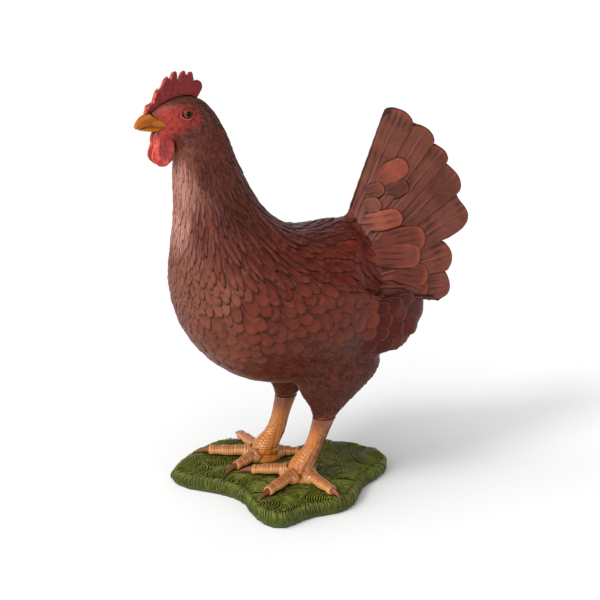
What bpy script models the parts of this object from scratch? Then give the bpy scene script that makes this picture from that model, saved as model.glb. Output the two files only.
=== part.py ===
"""A life-size painted resin statue of a hen standing on a small grass base.

Metres, +Z up. The bird faces -Y, its left side is +X, and the origin is on
the base's flat underside, midway between the feet. The tables below are in
millimetres and every function turns them into metres with MM.
"""

import math

import bmesh
import bpy
import numpy as np
from mathutils import Matrix, Vector
from mathutils.bvhtree import BVHTree

MM = 0.001
GAP = 0.35  # clear space left between neighbouring pieces, mm
SIDES = (("left", 1), ("right", -1))

# Each row: top line y, z; under line y, z; half width. From the bill to the vent.
HEAD = [
    (-132.0, 396.5, -116.5, 378.5, 8.4),
    (-125.5, 401.0, -113.8, 375.8, 12.2),
    (-116.5, 406.2, -112.2, 372.3, 16.0),
    (-106.0, 409.8, -111.0, 368.0, 19.0),
    (-94.5, 411.0, -109.8, 361.5, 20.5),
    (-83.0, 407.5, -109.5, 355.0, 21.0),
]
NECK = [
    (-72.0, 399.0, -109.8, 348.0, 22.0),
    (-63.0, 386.0, -110.2, 339.5, 23.8),
    (-55.5, 371.0, -110.5, 328.0, 26.5),
    (-49.3, 353.2, -110.0, 314.0, 30.3),
    (-41.2, 334.0, -109.5, 298.5, 35.6),
    (-31.5, 314.4, -110.5, 281.0, 42.5),
    (-20.3, 297.6, -112.5, 260.7, 50.5),
]
TRUNK = [
    (-7.0, 286.5, -115.0, 237.5, 58.5),
    (3.0, 280.0, -112.6, 212.0, 65.5),
    (11.0, 276.5, -106.0, 187.0, 70.5),
    (19.0, 274.8, -93.0, 163.8, 73.5),
    (27.0, 274.0, -74.6, 143.6, 75.5),
    (35.0, 273.8, -51.6, 128.4, 76.5),
    (43.5, 274.0, -25.0, 119.4, 76.0),
    (52.0, 275.0, 3.0, 115.5, 74.5),
    (60.5, 277.0, 31.0, 117.0, 69.0),
    (67.0, 277.5, 57.0, 123.0, 60.5),
    (73.5, 271.5, 79.5, 134.0, 50.5),
    (80.5, 261.5, 97.5, 149.0, 41.0),
    (88.0, 250.0, 110.0, 168.0, 31.5),
    (96.0, 237.0, 117.0, 191.0, 21.0),
]
BODY = HEAD + NECK + TRUNK
BODY_STEP = 0.05  # step along the stations used to measure how far apart they are
BODY_SPARE = 1.6  # the gap between sections is this much more than GAP at its tightest
CUTTER_GROW = GAP + 0.1
VENT = (0.0, 113.0, 216.0)  # rear end of the trunk
VENT_GROW = 0.7  # how much further back the cutter's end lies
RAY_START = 300.0  # x from which the body's side is felt for
HEAD_SEGMENTS, NECK_SEGMENTS, TRUNK_SEGMENTS = 24, 26, 32
HEAD_RINGS, NECK_RINGS, TRUNK_RINGS = 10, 8, 17
SECTION_POWER = 0.86  # below 1 the sections are fuller than an ellipse

# Comb side outline: lobe tips (y, z) and the notches between them.
COMB_START, COMB_END = (-136.0, 395.2), (-84.5, 408.5)
COMB_TIPS = [(-130.8, 404.2), (-123.8, 416.4), (-114.5, 427.4), (-105.4, 432.0),
             (-98.0, 432.2), (-90.2, 430.6), (-79.6, 418.6)]
COMB_NOTCHES = [(-128.4, 402.6), (-121.2, 413.4), (-111.2, 423.6), (-102.8, 421.6),
                (-94.4, 426.0), (-87.4, 422.2)]
COMB_HALF = (4.2, 2.6)  # half thickness at the root and at the tips
COMB_MIDDLE = (-106.0, 404.0)  # y, z that the edges of the comb are rounded towards
COMB_TAPER = (398.0, 30.0)  # height where the comb starts to thin, and over how much it does
COMB_LOBE_SHARES = (0.08, 0.3, 0.7, 0.92, 1.0)  # points along one lobe
COMB_LOBE_POWER = 2.6  # the higher, the squarer the lobes
COMB_EDGE = 0.965  # the outer faces of the comb are this much smaller than its middle
COMB_FOOT = (-134.5, -84.0)  # the comb stands on the crown between these y
COMB_GAP = GAP + 0.25
COMB_EDGE_FOOT = (0.95, 0.3)  # size of the outer faces' foot, and how much higher it lies
CROWN_PLACES, CROWN_END = 15, 4.72  # points of the crown, and the station where it ends

# Bill rows: top line y, z; under line y, z; half width. From the face to the tip.
BILL_UPPER = [
    (-131.9, 396.0, -121.5, 383.9, 8.0),
    (-137.0, 394.6, -127.5, 383.7, 6.6),
    (-141.2, 391.6, -134.0, 383.5, 4.9),
    (-144.3, 387.8, -140.0, 382.9, 2.9),
    (-146.0, 384.0, -144.2, 381.8, 1.0),
]
BILL_LOWER = [
    (-120.8, 383.1, -117.2, 378.9, 7.4),
    (-127.2, 383.0, -126.0, 378.5, 5.9),
    (-133.8, 382.8, -132.6, 379.2, 4.2),
    (-139.6, 382.2, -138.6, 380.2, 2.3),
    (-142.2, 381.7, -141.6, 380.9, 0.9),
]
BILL_RINGS, BILL_SEGMENTS = 7, 12
BILL_FLAT = 1.15  # how early the side of the mouth turns flat
BILL_ROUND = 0.8  # below 1 the bill is fuller than an ellipse

# Wattle: top x, y, z; how far the end lies from the top in x, y, z; rings and segments.
WATTLE_TOP, WATTLE_FALL = (5.6, -119.6, 376.0), (1.2, -2.6, -28.7)
WATTLE_RINGS, WATTLE_SEGMENTS = 8, 10
WATTLE_DEPTH = (5.0, 6.2)  # half depth at the top, and how much it gains lower down
WATTLE_SWELL = (0.78, 1.5)  # how far down the gain is fullest, and its power
WATTLE_WIDTH = (2.6, 0.9)  # half width at both ends, and how much it gains between them
WATTLE_ROUNDED = (0.7, 0.335)  # share where the end starts to close, and over how much

EYE_CENTRE, EYE_RADIUS = (15.0, -100.3, 395.3), 6.0
EYE_SEGMENTS, EYE_RINGS = 12, 6
SOCKET_GAP = GAP + 0.25

# Wing stations: y, top z, bottom z, thickness in the middle.
WING = [
    (-84.0, 222.0, 208.0, 2.2),
    (-76.0, 243.0, 193.0, 3.6),
    (-58.0, 256.0, 176.0, 5.2),
    (-30.0, 257.0, 163.0, 6.8),
    (5.0, 245.0, 155.0, 8.0),
    (40.0, 230.0, 150.0, 8.0),
    (72.0, 215.0, 147.5, 8.0),
    (98.0, 206.5, 149.5, 7.5),
    (118.0, 201.0, 159.0, 6.5),
    (132.0, 196.0, 172.0, 5.0),
    (139.0, 190.0, 182.0, 3.5),
]
WING_RINGS, WING_ROWS = 18, 6
WING_EDGE = 1.8  # thickness of its rim
WING_SCALLOP = (60.0, 80.0, 26.0, 3.0, 1.5)  # first y, fade, pitch, height and drop of its rear ends
WING_FREE = (45.0, 50.0)  # y where the wing starts to leave the body, and over how much
WING_REACH = (76.5, 8.0, 0.0020)  # its widest x, where it starts to curve in, and how strongly
WING_OUTER_SHARE = 0.35  # share of the thickness outside the wing's own curve
WING_SINK = 1.2  # how far the wing's inner skin starts inside the body
WING_CUTTER_GROW = GAP + 0.05

# Tail fan, seen from the side: feathers spread from one root point.
TAIL_ROOT = (53.0, 235.0)
# Each feather end between its notches: notch heading and reach, then the end's reach.
TAIL_NOTCHES = [(68.0, 158.0), (56.1, 156.0), (45.6, 154.5), (37.3, 151.0), (24.7, 142.5),
                (8.0, 107.0), (-7.8, 110.0), (-23.0, 98.0)]
TAIL_ENDS = [165.0, 163.0, 158.5, 154.0, 147.0, 120.0, 118.5]
TAIL_STEPS = 4  # points along the end of each feather
TAIL_INNER_START = 0.9  # where the hollow under the tail begins, in feathers from the ridge
TAIL_INNER_STEPS = 12
TAIL_SHARES = (0.0, 0.28, 0.52, 0.74, 0.91, 1.0)  # rings from the root to the ends
TAIL_START = 30.0  # distance from the root point at which the feathers start
TAIL_ROOT_WIDTH = (4.0, 40.0, 1.35)  # half width at the ridge, gain below it, how early it comes
TAIL_TIP_WIDTH = (4.2, 46.0, 1.15)  # half width at the ridge, gain below it, power of the gain
TAIL_WALL = (9.0, 5.0)  # wall of a half fan at the root, and how much less it is at the ends
TAIL_RIM = 1.2  # the hollow side ends this much before the feathers do
TAIL_FALL = 16.0  # how much lower the lowest feathers start
TAIL_ROUND = 0.55  # the lower, the squarer the feather ends
TAIL_BEND = (0.9, 0.4)  # powers with which it widens to the ends and hollows out from the ridge

# Thigh sections: z, x, y, half width, half depth. The right one is shifted.
THIGH = [
    (176.0, 30.0, 40.0, 20.0, 40.0),
    (160.0, 35.0, 42.0, 23.0, 45.0),
    (143.0, 37.5, 44.0, 25.0, 48.0),
    (130.0, 38.0, 43.0, 25.0, 48.0),
    (118.0, 38.0, 39.5, 23.0, 40.5),
    (106.0, 37.0, 36.5, 19.0, 31.0),
    (95.0, 36.2, 34.0, 15.0, 21.0),
    (83.5, 36.0, 30.0, 12.2, 13.8),
]
# Shank sections: z, x, y, half width, half depth, from the feathers to the sole.
SHANK_LEFT = [
    (82.8, 36.0, 30.0, 11.2, 12.6),
    (75.0, 35.2, 27.8, 9.6, 10.6),
    (64.0, 33.6, 24.6, 8.6, 9.4),
    (53.0, 32.0, 21.4, 8.6, 9.6),
    (44.0, 30.8, 16.8, 9.8, 11.6),
    (36.5, 30.2, 10.5, 12.4, 13.6),
    (29.5, 30.0, 7.0, 13.4, 13.8),
    (23.5, 30.0, 6.2, 11.8, 12.0),
]
THIGH_RINGS, THIGH_SEGMENTS = 9, 18
SHANK_RINGS, SHANK_SEGMENTS = 10, 14
SHANK_SOLE = 1.6  # how far the middle of the sole lies below its rim
SHIFT_PACE = 1.15  # how early the shank takes the whole shift of the sole
RIGHT_SHIFT = (-9.5, -14.5)  # how far the right leg stands ahead, at the top and at the sole
HUB = (30.0, 7.0, 13.6)  # x, y and radius of the left sole

# Toes: name, heading in degrees, length to the blunt end, claw length.
TOES_LEFT = [("inner", -124.0, 50.0, 14.0), ("middle", -62.0, 54.0, 14.0),
             ("outer", 13.0, 50.0, 12.0), ("hind", 142.0, 33.0, 10.0)]
TOES_RIGHT = [("inner", -68.0, 42.0, 13.0), ("middle", -119.5, 58.0, 14.0),
              ("outer", -173.0, 51.0, 11.0), ("hind", 76.0, 37.0, 10.0)]
TOE_ROOT_RADIUS, TOE_END_RADIUS = 6.2, 4.9
TOE_RINGS, TOE_SEGMENTS = 7, 10
TOE_FLAT = 0.86  # height of a toe's under half to its width, and size of its last ring
TOE_KNUCKLE = 0.05  # how much a knuckle swells
TOE_RISE = 1.6  # how much higher a toe starts than it ends
TOE_CLEAR = 0.3  # how much more than GAP a toe stays above the grass
HIND_SIZE, HIND_BACK, LONG_TOE = 0.88, 3.4, 40.0
CLAW_RINGS, CLAW_SEGMENTS = 5, 7
CLAW_RADIUS, CLAW_TIP = 3.1, 0.45
CLAW_LIFT, CLAW_DROP = 0.6, 3.4  # how far a claw starts above the toe's end, and then drops
CLAW_BEND = (0.8, 1.6)  # powers of its thinning and of its drop
CLAW_ABOVE = 2.0  # a claw over high grass stays this much above the sole's ground
CLAW_SHAPE = (0.9, 1.15)  # width and height of a claw to its radius
CLAW_TILT = (0.35, 0.3)  # lean of a claw's rings at its root, and how much they gain, in radians

# Base outline: heading in degrees and reach from BASE_CENTRE.
BASE_CENTRE = (5.0, 0.0)
BASE_OUTLINE = [(-119, 120), (-110, 106), (-98, 77), (-84, 64), (-66, 63), (-49, 79), (-35, 96),
                (-24, 99), (-12, 86), (0, 82), (15, 87), (30, 87), (50, 82), (64, 88),
                (78, 110), (92, 119), (106, 108), (124, 91), (144, 63), (160, 53),
                (176, 76), (192, 103), (212, 110), (228, 115)]
BASE_HEIGHT = 18.0
BASE_BANK = (0.0006, -25.0)  # how strongly, and from which x, it rises to the bird's right
BASE_ROLL, BASE_WAVE = 0.8, 0.6  # heights of its two soft swells
BASE_SAFE = 90.0  # claws nearer to the middle than this stay above the grass
# Edge profile of the base: share of the reach, share of the height.
BASE_PROFILE = [(0.978, 0.0), (0.995, 0.12), (1.0, 0.34), (0.99, 0.58), (0.965, 0.78),
                (0.92, 0.93), (0.84, 1.0), (0.6, 1.0), (0.3, 1.0)]
BASE_SEGMENTS = 41

PAINTS = {
    "plumage": ((0.155, 0.050, 0.032), 0.55),
    "neck_plumage": ((0.150, 0.046, 0.036), 0.55),
    "tail_plumage": ((0.170, 0.056, 0.040), 0.55),
    "thigh_plumage": ((0.095, 0.036, 0.028), 0.6),
    "wing_plumage": ((0.150, 0.050, 0.034), 0.55),
    "face": ((0.280, 0.052, 0.042), 0.5),
    "comb": ((0.240, 0.034, 0.031), 0.5),
    "wattle": ((0.395, 0.048, 0.044), 0.45),
    "bill": ((0.420, 0.130, 0.016), 0.4),
    "eye": ((0.330, 0.045, 0.018), 0.12),
    "shank": ((0.397, 0.150, 0.048), 0.35),
    "claw": ((0.235, 0.060, 0.018), 0.35),
    "grass": ((0.070, 0.088, 0.020), 0.6),
}


def clear_scene():
    """Remove every object."""
    for item in list(bpy.data.objects):
        bpy.data.objects.remove(item, do_unlink=True)


def paint(name):
    """The material of one paint, made when it is first asked for."""
    material = bpy.data.materials.get(name)
    if material is None:
        material = bpy.data.materials.new(name)
        material.use_nodes = True
        colour, rough = PAINTS[name]
        shader = material.node_tree.nodes["Principled BSDF"]
        shader.inputs["Base Color"].default_value = (*colour, 1.0)
        shader.inputs["Roughness"].default_value = rough
        shader.inputs["Metallic"].default_value = 0.0
        material.diffuse_color = (*colour, 1.0)
    return material


def solid(name, points, faces, paint_name, helper=False):
    """A closed mesh object; points are in millimetres."""
    mesh = bpy.data.meshes.new(name)
    mesh.from_pydata([Vector(p) * MM for p in points], [], faces)
    shape = bmesh.new()
    shape.from_mesh(mesh)
    bmesh.ops.remove_doubles(shape, verts=shape.verts, dist=1e-6)
    bmesh.ops.triangulate(shape, faces=shape.faces, quad_method="FIXED")
    bmesh.ops.recalc_face_normals(shape, faces=shape.faces)
    for face in shape.faces:
        face.smooth = True
    shape.to_mesh(mesh)
    shape.free()
    item = bpy.data.objects.new(name, mesh)
    bpy.context.scene.collection.objects.link(item)
    if helper:
        item.hide_render = True
        item.display_type = "WIRE"
    else:
        mesh.materials.append(paint(paint_name))
    return item


def cut(item, cutter):
    """Take the cutter's shape away from an object."""
    modifier = item.modifiers.new("cut_" + cutter.name, "BOOLEAN")
    modifier.operation = "DIFFERENCE"
    modifier.solver = "EXACT"
    modifier.object = cutter


def spline(rows, place):
    """Smooth curve through the rows (Catmull-Rom), read at a place from 0 to len - 1."""
    rows = np.asarray(rows, float)
    last = len(rows) - 1
    i = min(int(place), last - 1)
    f = place - i
    a, b = rows[max(i - 1, 0)], rows[i]
    c, d = rows[i + 1], rows[min(i + 2, last)]
    if i == 0:
        a = 2 * b - c
    if i + 2 > last:
        d = 2 * c - b
    square = 2 * a - 5 * b + 4 * c - d
    cube = 3 * b - 3 * c + d - a
    return 0.5 * (2 * b + (c - a) * f + square * f**2 + cube * f**3)


def power_of(value, power):
    """The power of a number's size, with the number's sign."""
    return math.copysign(abs(value) ** power, value)


def section(row, segments, grow=0.0):
    """One closed body section from its top point, its under point and its half width."""
    top, low, width = np.array(row[0:2]), np.array(row[2:4]), row[4] + grow
    middle, half = (top + low) / 2, (top - low) / 2
    half = half * (1 + grow / np.linalg.norm(half))
    ring = []
    for k in range(segments):
        turn = 2 * math.pi * k / segments
        across = power_of(math.sin(turn), SECTION_POWER) * width
        y, z = middle + half * math.cos(turn)
        ring.append((across, y, z))
    return ring


def tube(rings):
    """Points and faces of an open skin over equal rings."""
    count = len(rings[0])
    points = [p for ring in rings for p in ring]
    faces = []
    for i in range(len(rings) - 1):
        for k in range(count):
            n = (k + 1) % count
            faces.append((i * count + k, i * count + n, (i + 1) * count + n, (i + 1) * count + k))
    return points, faces


def loft(rings, start=None, end=None):
    """Points and faces of a skin over equal rings, closed by a point at each end."""
    points, faces = tube(rings)
    count = len(rings[0])
    for ring, tip, base in ((rings[0], start, 0), (rings[-1], end, (len(rings) - 1) * count)):
        centre = np.mean(np.array(ring), axis=0) if tip is None else tip
        points.append(tuple(centre))
        hub = len(points) - 1
        for k in range(count):
            n = (k + 1) % count
            faces.append((hub, base + n, base + k) if base == 0 else (hub, base + k, base + n))
    return points, faces


def shell(rings, first_side):
    """Points and faces of equal rings whose ends are closed from side to side.

    first_side counts the points of a ring that lie on its first side.
    """
    points, faces = tube(rings)
    count = len(rings[0])
    cap = strip(list(range(first_side)), list(range(first_side, count))[::-1])
    last = (len(rings) - 1) * count
    return points, faces + cap + [tuple(last + k for k in reversed(face)) for face in cap]


def strip(long_side, short_side):
    """Triangles between two rows of points of unlike length, running the same way."""
    faces, i, j = [], 0, 0
    while i < len(long_side) - 1 or j < len(short_side) - 1:
        ahead = (i + 1) / (len(long_side) - 1) if i < len(long_side) - 1 else 2
        other = (j + 1) / (len(short_side) - 1) if j < len(short_side) - 1 else 2
        if ahead <= other:
            faces.append((long_side[i], long_side[i + 1], short_side[j]))
            i += 1
        else:
            faces.append((long_side[i], short_side[j + 1], short_side[j]))
            j += 1
    return faces


def mirrored(points, sign):
    """The points as they are for sign 1, and on the other side for sign -1."""
    return [(sign * x, y, z) for x, y, z in points]


def body_rings(first, last, count, segments, grow=0.0):
    """Even sections of the body from one station to another."""
    return [section(spline(BODY, first + (last - first) * i / (count - 1)), segments, grow)
            for i in range(count)]


def plane_gap(place):
    """How far along the stations a plane moves to leave a gap at its tightest place."""
    here, ahead = spline(BODY, place), spline(BODY, place + BODY_STEP)
    closest = min(np.linalg.norm(ahead[0:2] - here[0:2]), np.linalg.norm(ahead[2:4] - here[2:4]))
    return BODY_SPARE * BODY_STEP * GAP / max(closest, 1e-6)


def build_body():
    """Head, neck and trunk, and a grown trunk that cuts its neighbours."""
    head_end = len(HEAD) - 0.5
    neck_end = len(HEAD) + len(NECK) - 0.5
    after_head = head_end + plane_gap(head_end)
    after_neck = neck_end + plane_gap(neck_end)
    last = len(BODY) - 1
    head = solid("head", *loft(body_rings(0, head_end, HEAD_RINGS, HEAD_SEGMENTS)), "face")
    rings = body_rings(after_head, neck_end, NECK_RINGS, NECK_SEGMENTS)
    solid("neck", *loft(rings), "neck_plumage")
    rings = body_rings(after_neck, last, TRUNK_RINGS, TRUNK_SEGMENTS)
    trunk = solid("trunk", *loft(rings, end=VENT), "plumage")
    grown = body_rings(after_neck, last, TRUNK_RINGS, TRUNK_SEGMENTS, CUTTER_GROW)
    grown_vent = (VENT[0], VENT[1] + VENT_GROW, VENT[2])
    cutter = solid("trunk_cutter", *loft(grown, end=grown_vent), None, helper=True)
    return head, trunk, cutter


def side_of(item):
    """A reader of the item's side: how far out it reaches at y, z, and which way it faces."""
    tree = BVHTree.FromPolygons([v.co for v in item.data.vertices],
                                [list(p.vertices) for p in item.data.polygons])

    def reach(y, z):
        place, normal, _, _ = tree.ray_cast(Vector((RAY_START, y, z)) * MM, Vector((-1, 0, 0)))
        if place is None or place.x < 0:
            return None, None
        return place.x / MM, normal

    return reach


def wing_rings(reach, grow=0.0):
    """Rings of the left wing, each running down its inner skin and back up its outer skin."""
    widest, curve_start, curve = WING_REACH
    scallop_start, fade, pitch, height, drop = WING_SCALLOP
    rings = []
    for i in range(WING_RINGS):
        y, top, low, thick = spline(WING, i / (WING_RINGS - 1) * (len(WING) - 1))
        # the lower rear edge ends in three broad feather ends
        rear = max(0.0, (y - scallop_start) / fade)
        swing = abs(math.sin(math.pi * (y - scallop_start) / pitch))
        low += height * rear * swing - drop * rear
        # towards the tail the wing stands off the body along its own gentle curve
        late = min(1.0, max(0.0, (y - WING_FREE[0]) / WING_FREE[1]))
        inner, outer = [], []
        for j in range(WING_ROWS):
            across = -math.cos(math.pi * j / (WING_ROWS - 1))
            z = (top + low) / 2 - across * ((top - low) / 2 + grow)
            lens = WING_EDGE + (thick - WING_EDGE) * math.sqrt(max(0.0, 1 - across**2))
            free = np.array((widest - curve * max(0.0, y - curve_start) ** 2, y, z))
            tip_free = free + np.array((WING_OUTER_SHARE * lens, 0.0, 0.0))
            base_free = free - np.array(((1 - WING_OUTER_SHARE) * lens, 0.0, 0.0))
            found, normal = reach(y, z)
            if found is None:
                base, tip = base_free, tip_free
            else:
                under = np.array((found, y, z)) - np.array(normal) * WING_SINK
                tip = np.array((found, y, z)) + np.array(normal) * (lens + GAP)
                tip = tip + (tip_free - tip) * late
                base = under + (np.maximum(base_free, under) - under) * late
                tip[0] = max(tip[0], base[0] + WING_EDGE)
            inner.append((base[0] - grow, base[1], base[2]))
            outer.append((tip[0] + grow, tip[1], tip[2]))
        rings.append(inner + outer[::-1])
    return rings


def build_wings(trunk, cutter):
    """Both wings, and a grown copy of each that cuts the thigh under it."""
    reach = side_of(trunk)
    cutters = []
    for side, sign in SIDES:
        points, faces = loft(wing_rings(reach))
        wing = solid("wing_" + side, mirrored(points, sign), faces, "wing_plumage")
        cut(wing, cutter)
        points, faces = loft(wing_rings(reach, WING_CUTTER_GROW))
        points = mirrored(points, sign)
        cutters.append(solid("wing_cutter_" + side, points, faces, None, helper=True))
    return cutters


def tail_edge(place):
    """Heading and reach of the fan's edge; place counts feathers down from the ridge."""
    k = min(int(place), len(TAIL_ENDS) - 1)
    f = place - k
    (turn1, reach1), (turn2, reach2) = TAIL_NOTCHES[k], TAIL_NOTCHES[k + 1]
    between = reach1 + (reach2 - reach1) * f
    bulge = max(0.0, math.sin(math.pi * f)) ** TAIL_ROUND
    return math.radians(turn1 + (turn2 - turn1) * f), between + (TAIL_ENDS[k] - between) * bulge


def tail_point(place, along, inside):
    """One point of the left half of the fan."""
    turn, reach = tail_edge(place)
    share = place / len(TAIL_ENDS)
    radius = TAIL_START + (reach - TAIL_START) * along
    if inside:
        radius = min(radius, reach - TAIL_RIM)
    narrow, gain, early = TAIL_ROOT_WIDTH
    root = narrow + gain * math.sin(min(1.0, early * share) * math.pi / 2)
    narrow, gain, power = TAIL_TIP_WIDTH
    tip = narrow + gain * share**power
    x = root + (tip - root) * along ** TAIL_BEND[0]
    if inside:
        start = TAIL_INNER_START
        lift = max(0.0, (place - start) / (len(TAIL_ENDS) - start)) ** TAIL_BEND[1]
        x = max(0.0, x - (TAIL_WALL[0] - TAIL_WALL[1] * along)) * lift
    z = TAIL_ROOT[1] + radius * math.sin(turn) - TAIL_FALL * share**2 * (1 - along)
    return (x, TAIL_ROOT[0] + radius * math.cos(turn), z)


def build_tail(cutter):
    """Two half fans that meet at the ridge, each a shell open underneath."""
    feathers = len(TAIL_ENDS)
    outer = [k / TAIL_STEPS for k in range(feathers * TAIL_STEPS, -1, -1)]
    inner = [TAIL_INNER_START + (feathers - TAIL_INNER_START) * k / TAIL_INNER_STEPS
             for k in range(TAIL_INNER_STEPS + 1)]
    rings = []
    for along in TAIL_SHARES:
        over = [tail_point(place, along, False) for place in outer]
        ridge = (GAP / 2, *over[-1][1:])
        under = [tail_point(place, along, True) for place in inner]
        under[0] = (GAP / 2, *under[0][1:])
        rings.append(over + [ridge] + under)
    points, faces = shell(rings, len(outer) + 1)
    for side, sign in SIDES:
        cut(solid("tail_" + side, mirrored(points, sign), faces, "tail_plumage"), cutter)


def oval_ring(x, y, z, wide, deep, segments):
    """A level oval of points."""
    turns = [2 * math.pi * k / segments for k in range(segments)]
    return [(x + wide * math.cos(turn), y + deep * math.sin(turn), z) for turn in turns]


def build_leg(side, cutter, wing_cutter):
    """One thigh, shank and foot."""
    right = side == "right"
    sign = -1 if right else 1
    top_shift, sole_shift = RIGHT_SHIFT if right else (0.0, 0.0)
    rings = []
    for i in range(THIGH_RINGS):
        z, x, y, wide, deep = spline(THIGH, i * (len(THIGH) - 1) / (THIGH_RINGS - 1))
        rings.append(oval_ring(sign * x, y + top_shift, z, wide, deep, THIGH_SEGMENTS))
    thigh = solid("thigh_" + side, *loft(rings), "thigh_plumage")
    cut(thigh, cutter)
    cut(thigh, wing_cutter)
    rings = []
    top, sole = SHANK_LEFT[0][0], SHANK_LEFT[-1][0]
    for i in range(SHANK_RINGS):
        z, x, y, wide, deep = spline(SHANK_LEFT, i * (len(SHANK_LEFT) - 1) / (SHANK_RINGS - 1))
        share = min(1.0, (top - z) / (top - sole) * SHIFT_PACE)
        shift = top_shift + (sole_shift - top_shift) * share
        rings.append(oval_ring(sign * x, y + shift, z, wide, deep, SHANK_SEGMENTS))
    centre = np.mean(np.array(rings[-1]), axis=0) - (0, 0, SHANK_SOLE)
    solid("shank_" + side, *loft(rings, end=tuple(centre)), "shank")
    hub = (sign * HUB[0], HUB[1] + sole_shift)
    for toe, heading, length, claw in (TOES_RIGHT if right else TOES_LEFT):
        name = side + "_" + toe
        hind = toe == "hind"
        end = build_toe(name, hub, heading, length, hind)
        build_claw(name, hub, heading, length, claw, end, hind)


def base_top(x, y):
    """Height of the grass at x, y: a low, softly rolling pad."""
    bank = BASE_BANK[0] * min(0.0, x - BASE_BANK[1]) ** 2
    roll = BASE_ROLL * math.sin(0.045 * x + 0.6) * math.cos(0.05 * y - 0.4)
    return BASE_HEIGHT + bank + roll - BASE_WAVE * math.sin(0.09 * y + 0.02 * x)


def heading_axes(heading):
    """Unit vectors ahead and aside for a heading in degrees."""
    turn = math.radians(heading)
    ahead = np.array((math.cos(turn), math.sin(turn), 0.0))
    return ahead, np.array((-ahead[1], ahead[0], 0.0))


def build_toe(name, hub, heading, length, hind):
    """One toe that rests on the grass. Gives the height of its end."""
    ahead, aside = heading_axes(heading)
    reach = HUB[2] + GAP + (HIND_BACK if hind else 0.0)
    knuckles = 3 if length > LONG_TOE else 2
    size = HIND_SIZE if hind else 1.0
    rings = []
    for i in range(TOE_RINGS):
        share = i / (TOE_RINGS - 1)
        radius = size * (TOE_ROOT_RADIUS + (TOE_END_RADIUS - TOE_ROOT_RADIUS) * share)
        radius *= 1 + TOE_KNUCKLE * math.cos(2 * math.pi * knuckles * share)
        if i == TOE_RINGS - 1:
            radius *= TOE_FLAT
        spot = np.array((*hub, 0.0)) + ahead * (reach + (length - reach) * share)
        ground = max(base_top(*(spot[:2] + aside[:2] * k * radius)) for k in (-1, 0, 1))
        height = ground + radius * TOE_FLAT + GAP + TOE_CLEAR + TOE_RISE * (1 - share) ** 2
        centre = spot + np.array((0, 0, height))
        ring = []
        for k in range(TOE_SEGMENTS):
            spin = 2 * math.pi * k / TOE_SEGMENTS
            up = math.sin(spin) * radius * (TOE_FLAT if math.sin(spin) < 0 else 1.0)
            ring.append(tuple(centre + aside * math.cos(spin) * radius + np.array((0, 0, up))))
        rings.append(ring)
    solid("toe_" + name, *loft(rings), "shank")
    return centre[2]


def build_claw(name, hub, heading, length, claw, toe_end, hind):
    """One claw ahead of its toe, whose end is at height toe_end."""
    ahead, aside = heading_axes(heading)
    size = HIND_SIZE if hind else 1.0
    wide, high = CLAW_SHAPE
    rings = []
    for i in range(CLAW_RINGS):
        share = i / (CLAW_RINGS - 1)
        radius = size * CLAW_RADIUS * (1 - share) ** CLAW_BEND[0] + CLAW_TIP
        spot = np.array((*hub, 0.0)) + ahead * (length + GAP + claw * share)
        low = min(base_top(*spot[:2]), base_top(*hub) + CLAW_ABOVE) + radius * wide + GAP
        z = toe_end + CLAW_LIFT - CLAW_DROP * share ** CLAW_BEND[1]
        if math.hypot(*(spot[:2] - BASE_CENTRE)) < BASE_SAFE:
            z = max(z, low)
        tilt = CLAW_TILT[0] + CLAW_TILT[1] * share
        lean = ahead * math.sin(tilt) + np.array((0, 0, math.cos(tilt)))
        if i == 0:
            lean = np.array((0, 0, 1.0))
        centre = spot + np.array((0, 0, z))
        ring = []
        for k in range(CLAW_SEGMENTS):
            spin = 2 * math.pi * k / CLAW_SEGMENTS
            out = aside * math.cos(spin) * radius * wide
            ring.append(tuple(centre + out + lean * math.sin(spin) * radius * high))
        rings.append(ring)
    solid("claw_" + name, *loft(rings), "claw")


def comb_outline():
    """Side outline of the comb over its lobes, as y and z."""
    outline = [COMB_START]
    notches = [COMB_START] + COMB_NOTCHES + [COMB_END]
    for k, tip in enumerate(COMB_TIPS):
        before, after = np.array(notches[k]), np.array(notches[k + 1])
        rise = np.array(tip) - (before + after) / 2
        for share in COMB_LOBE_SHARES:
            rounded = 1 - abs(2 * share - 1) ** COMB_LOBE_POWER
            outline.append(tuple(before + (after - before) * share + rise * rounded))
    return outline


def build_comb():
    """Upright comb that stands on the crown."""
    outline = comb_outline()
    crown = [spline(BODY, CROWN_END * i / (CROWN_PLACES - 1))[:2] for i in range(CROWN_PLACES)]
    under = [(y, z + COMB_GAP) for y, z in crown if COMB_FOOT[0] < y < COMB_FOOT[1]]
    centre = np.array(COMB_MIDDLE)
    root, tip = COMB_HALF
    rings = []
    # from the left face to the right face; the two outer rings are a little smaller
    for side, edge in ((1.0, True), (0.6, False), (-0.6, False), (-1.0, True)):
        ring = []
        for y, z in outline:
            share = min(1.0, max(0.0, (z - COMB_TAPER[0]) / COMB_TAPER[1]))
            spot = centre + (np.array((y, z)) - centre) * (COMB_EDGE if edge else 1.0)
            ring.append((side * (root + (tip - root) * share), *spot))
        size, lift = COMB_EDGE_FOOT if edge else (1.0, 0.0)
        for y, z in reversed(under):
            ring.append((side * root * size, y, z + lift))
        rings.append(ring)
    solid("comb", *shell(rings, len(outline)), "comb")


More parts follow.
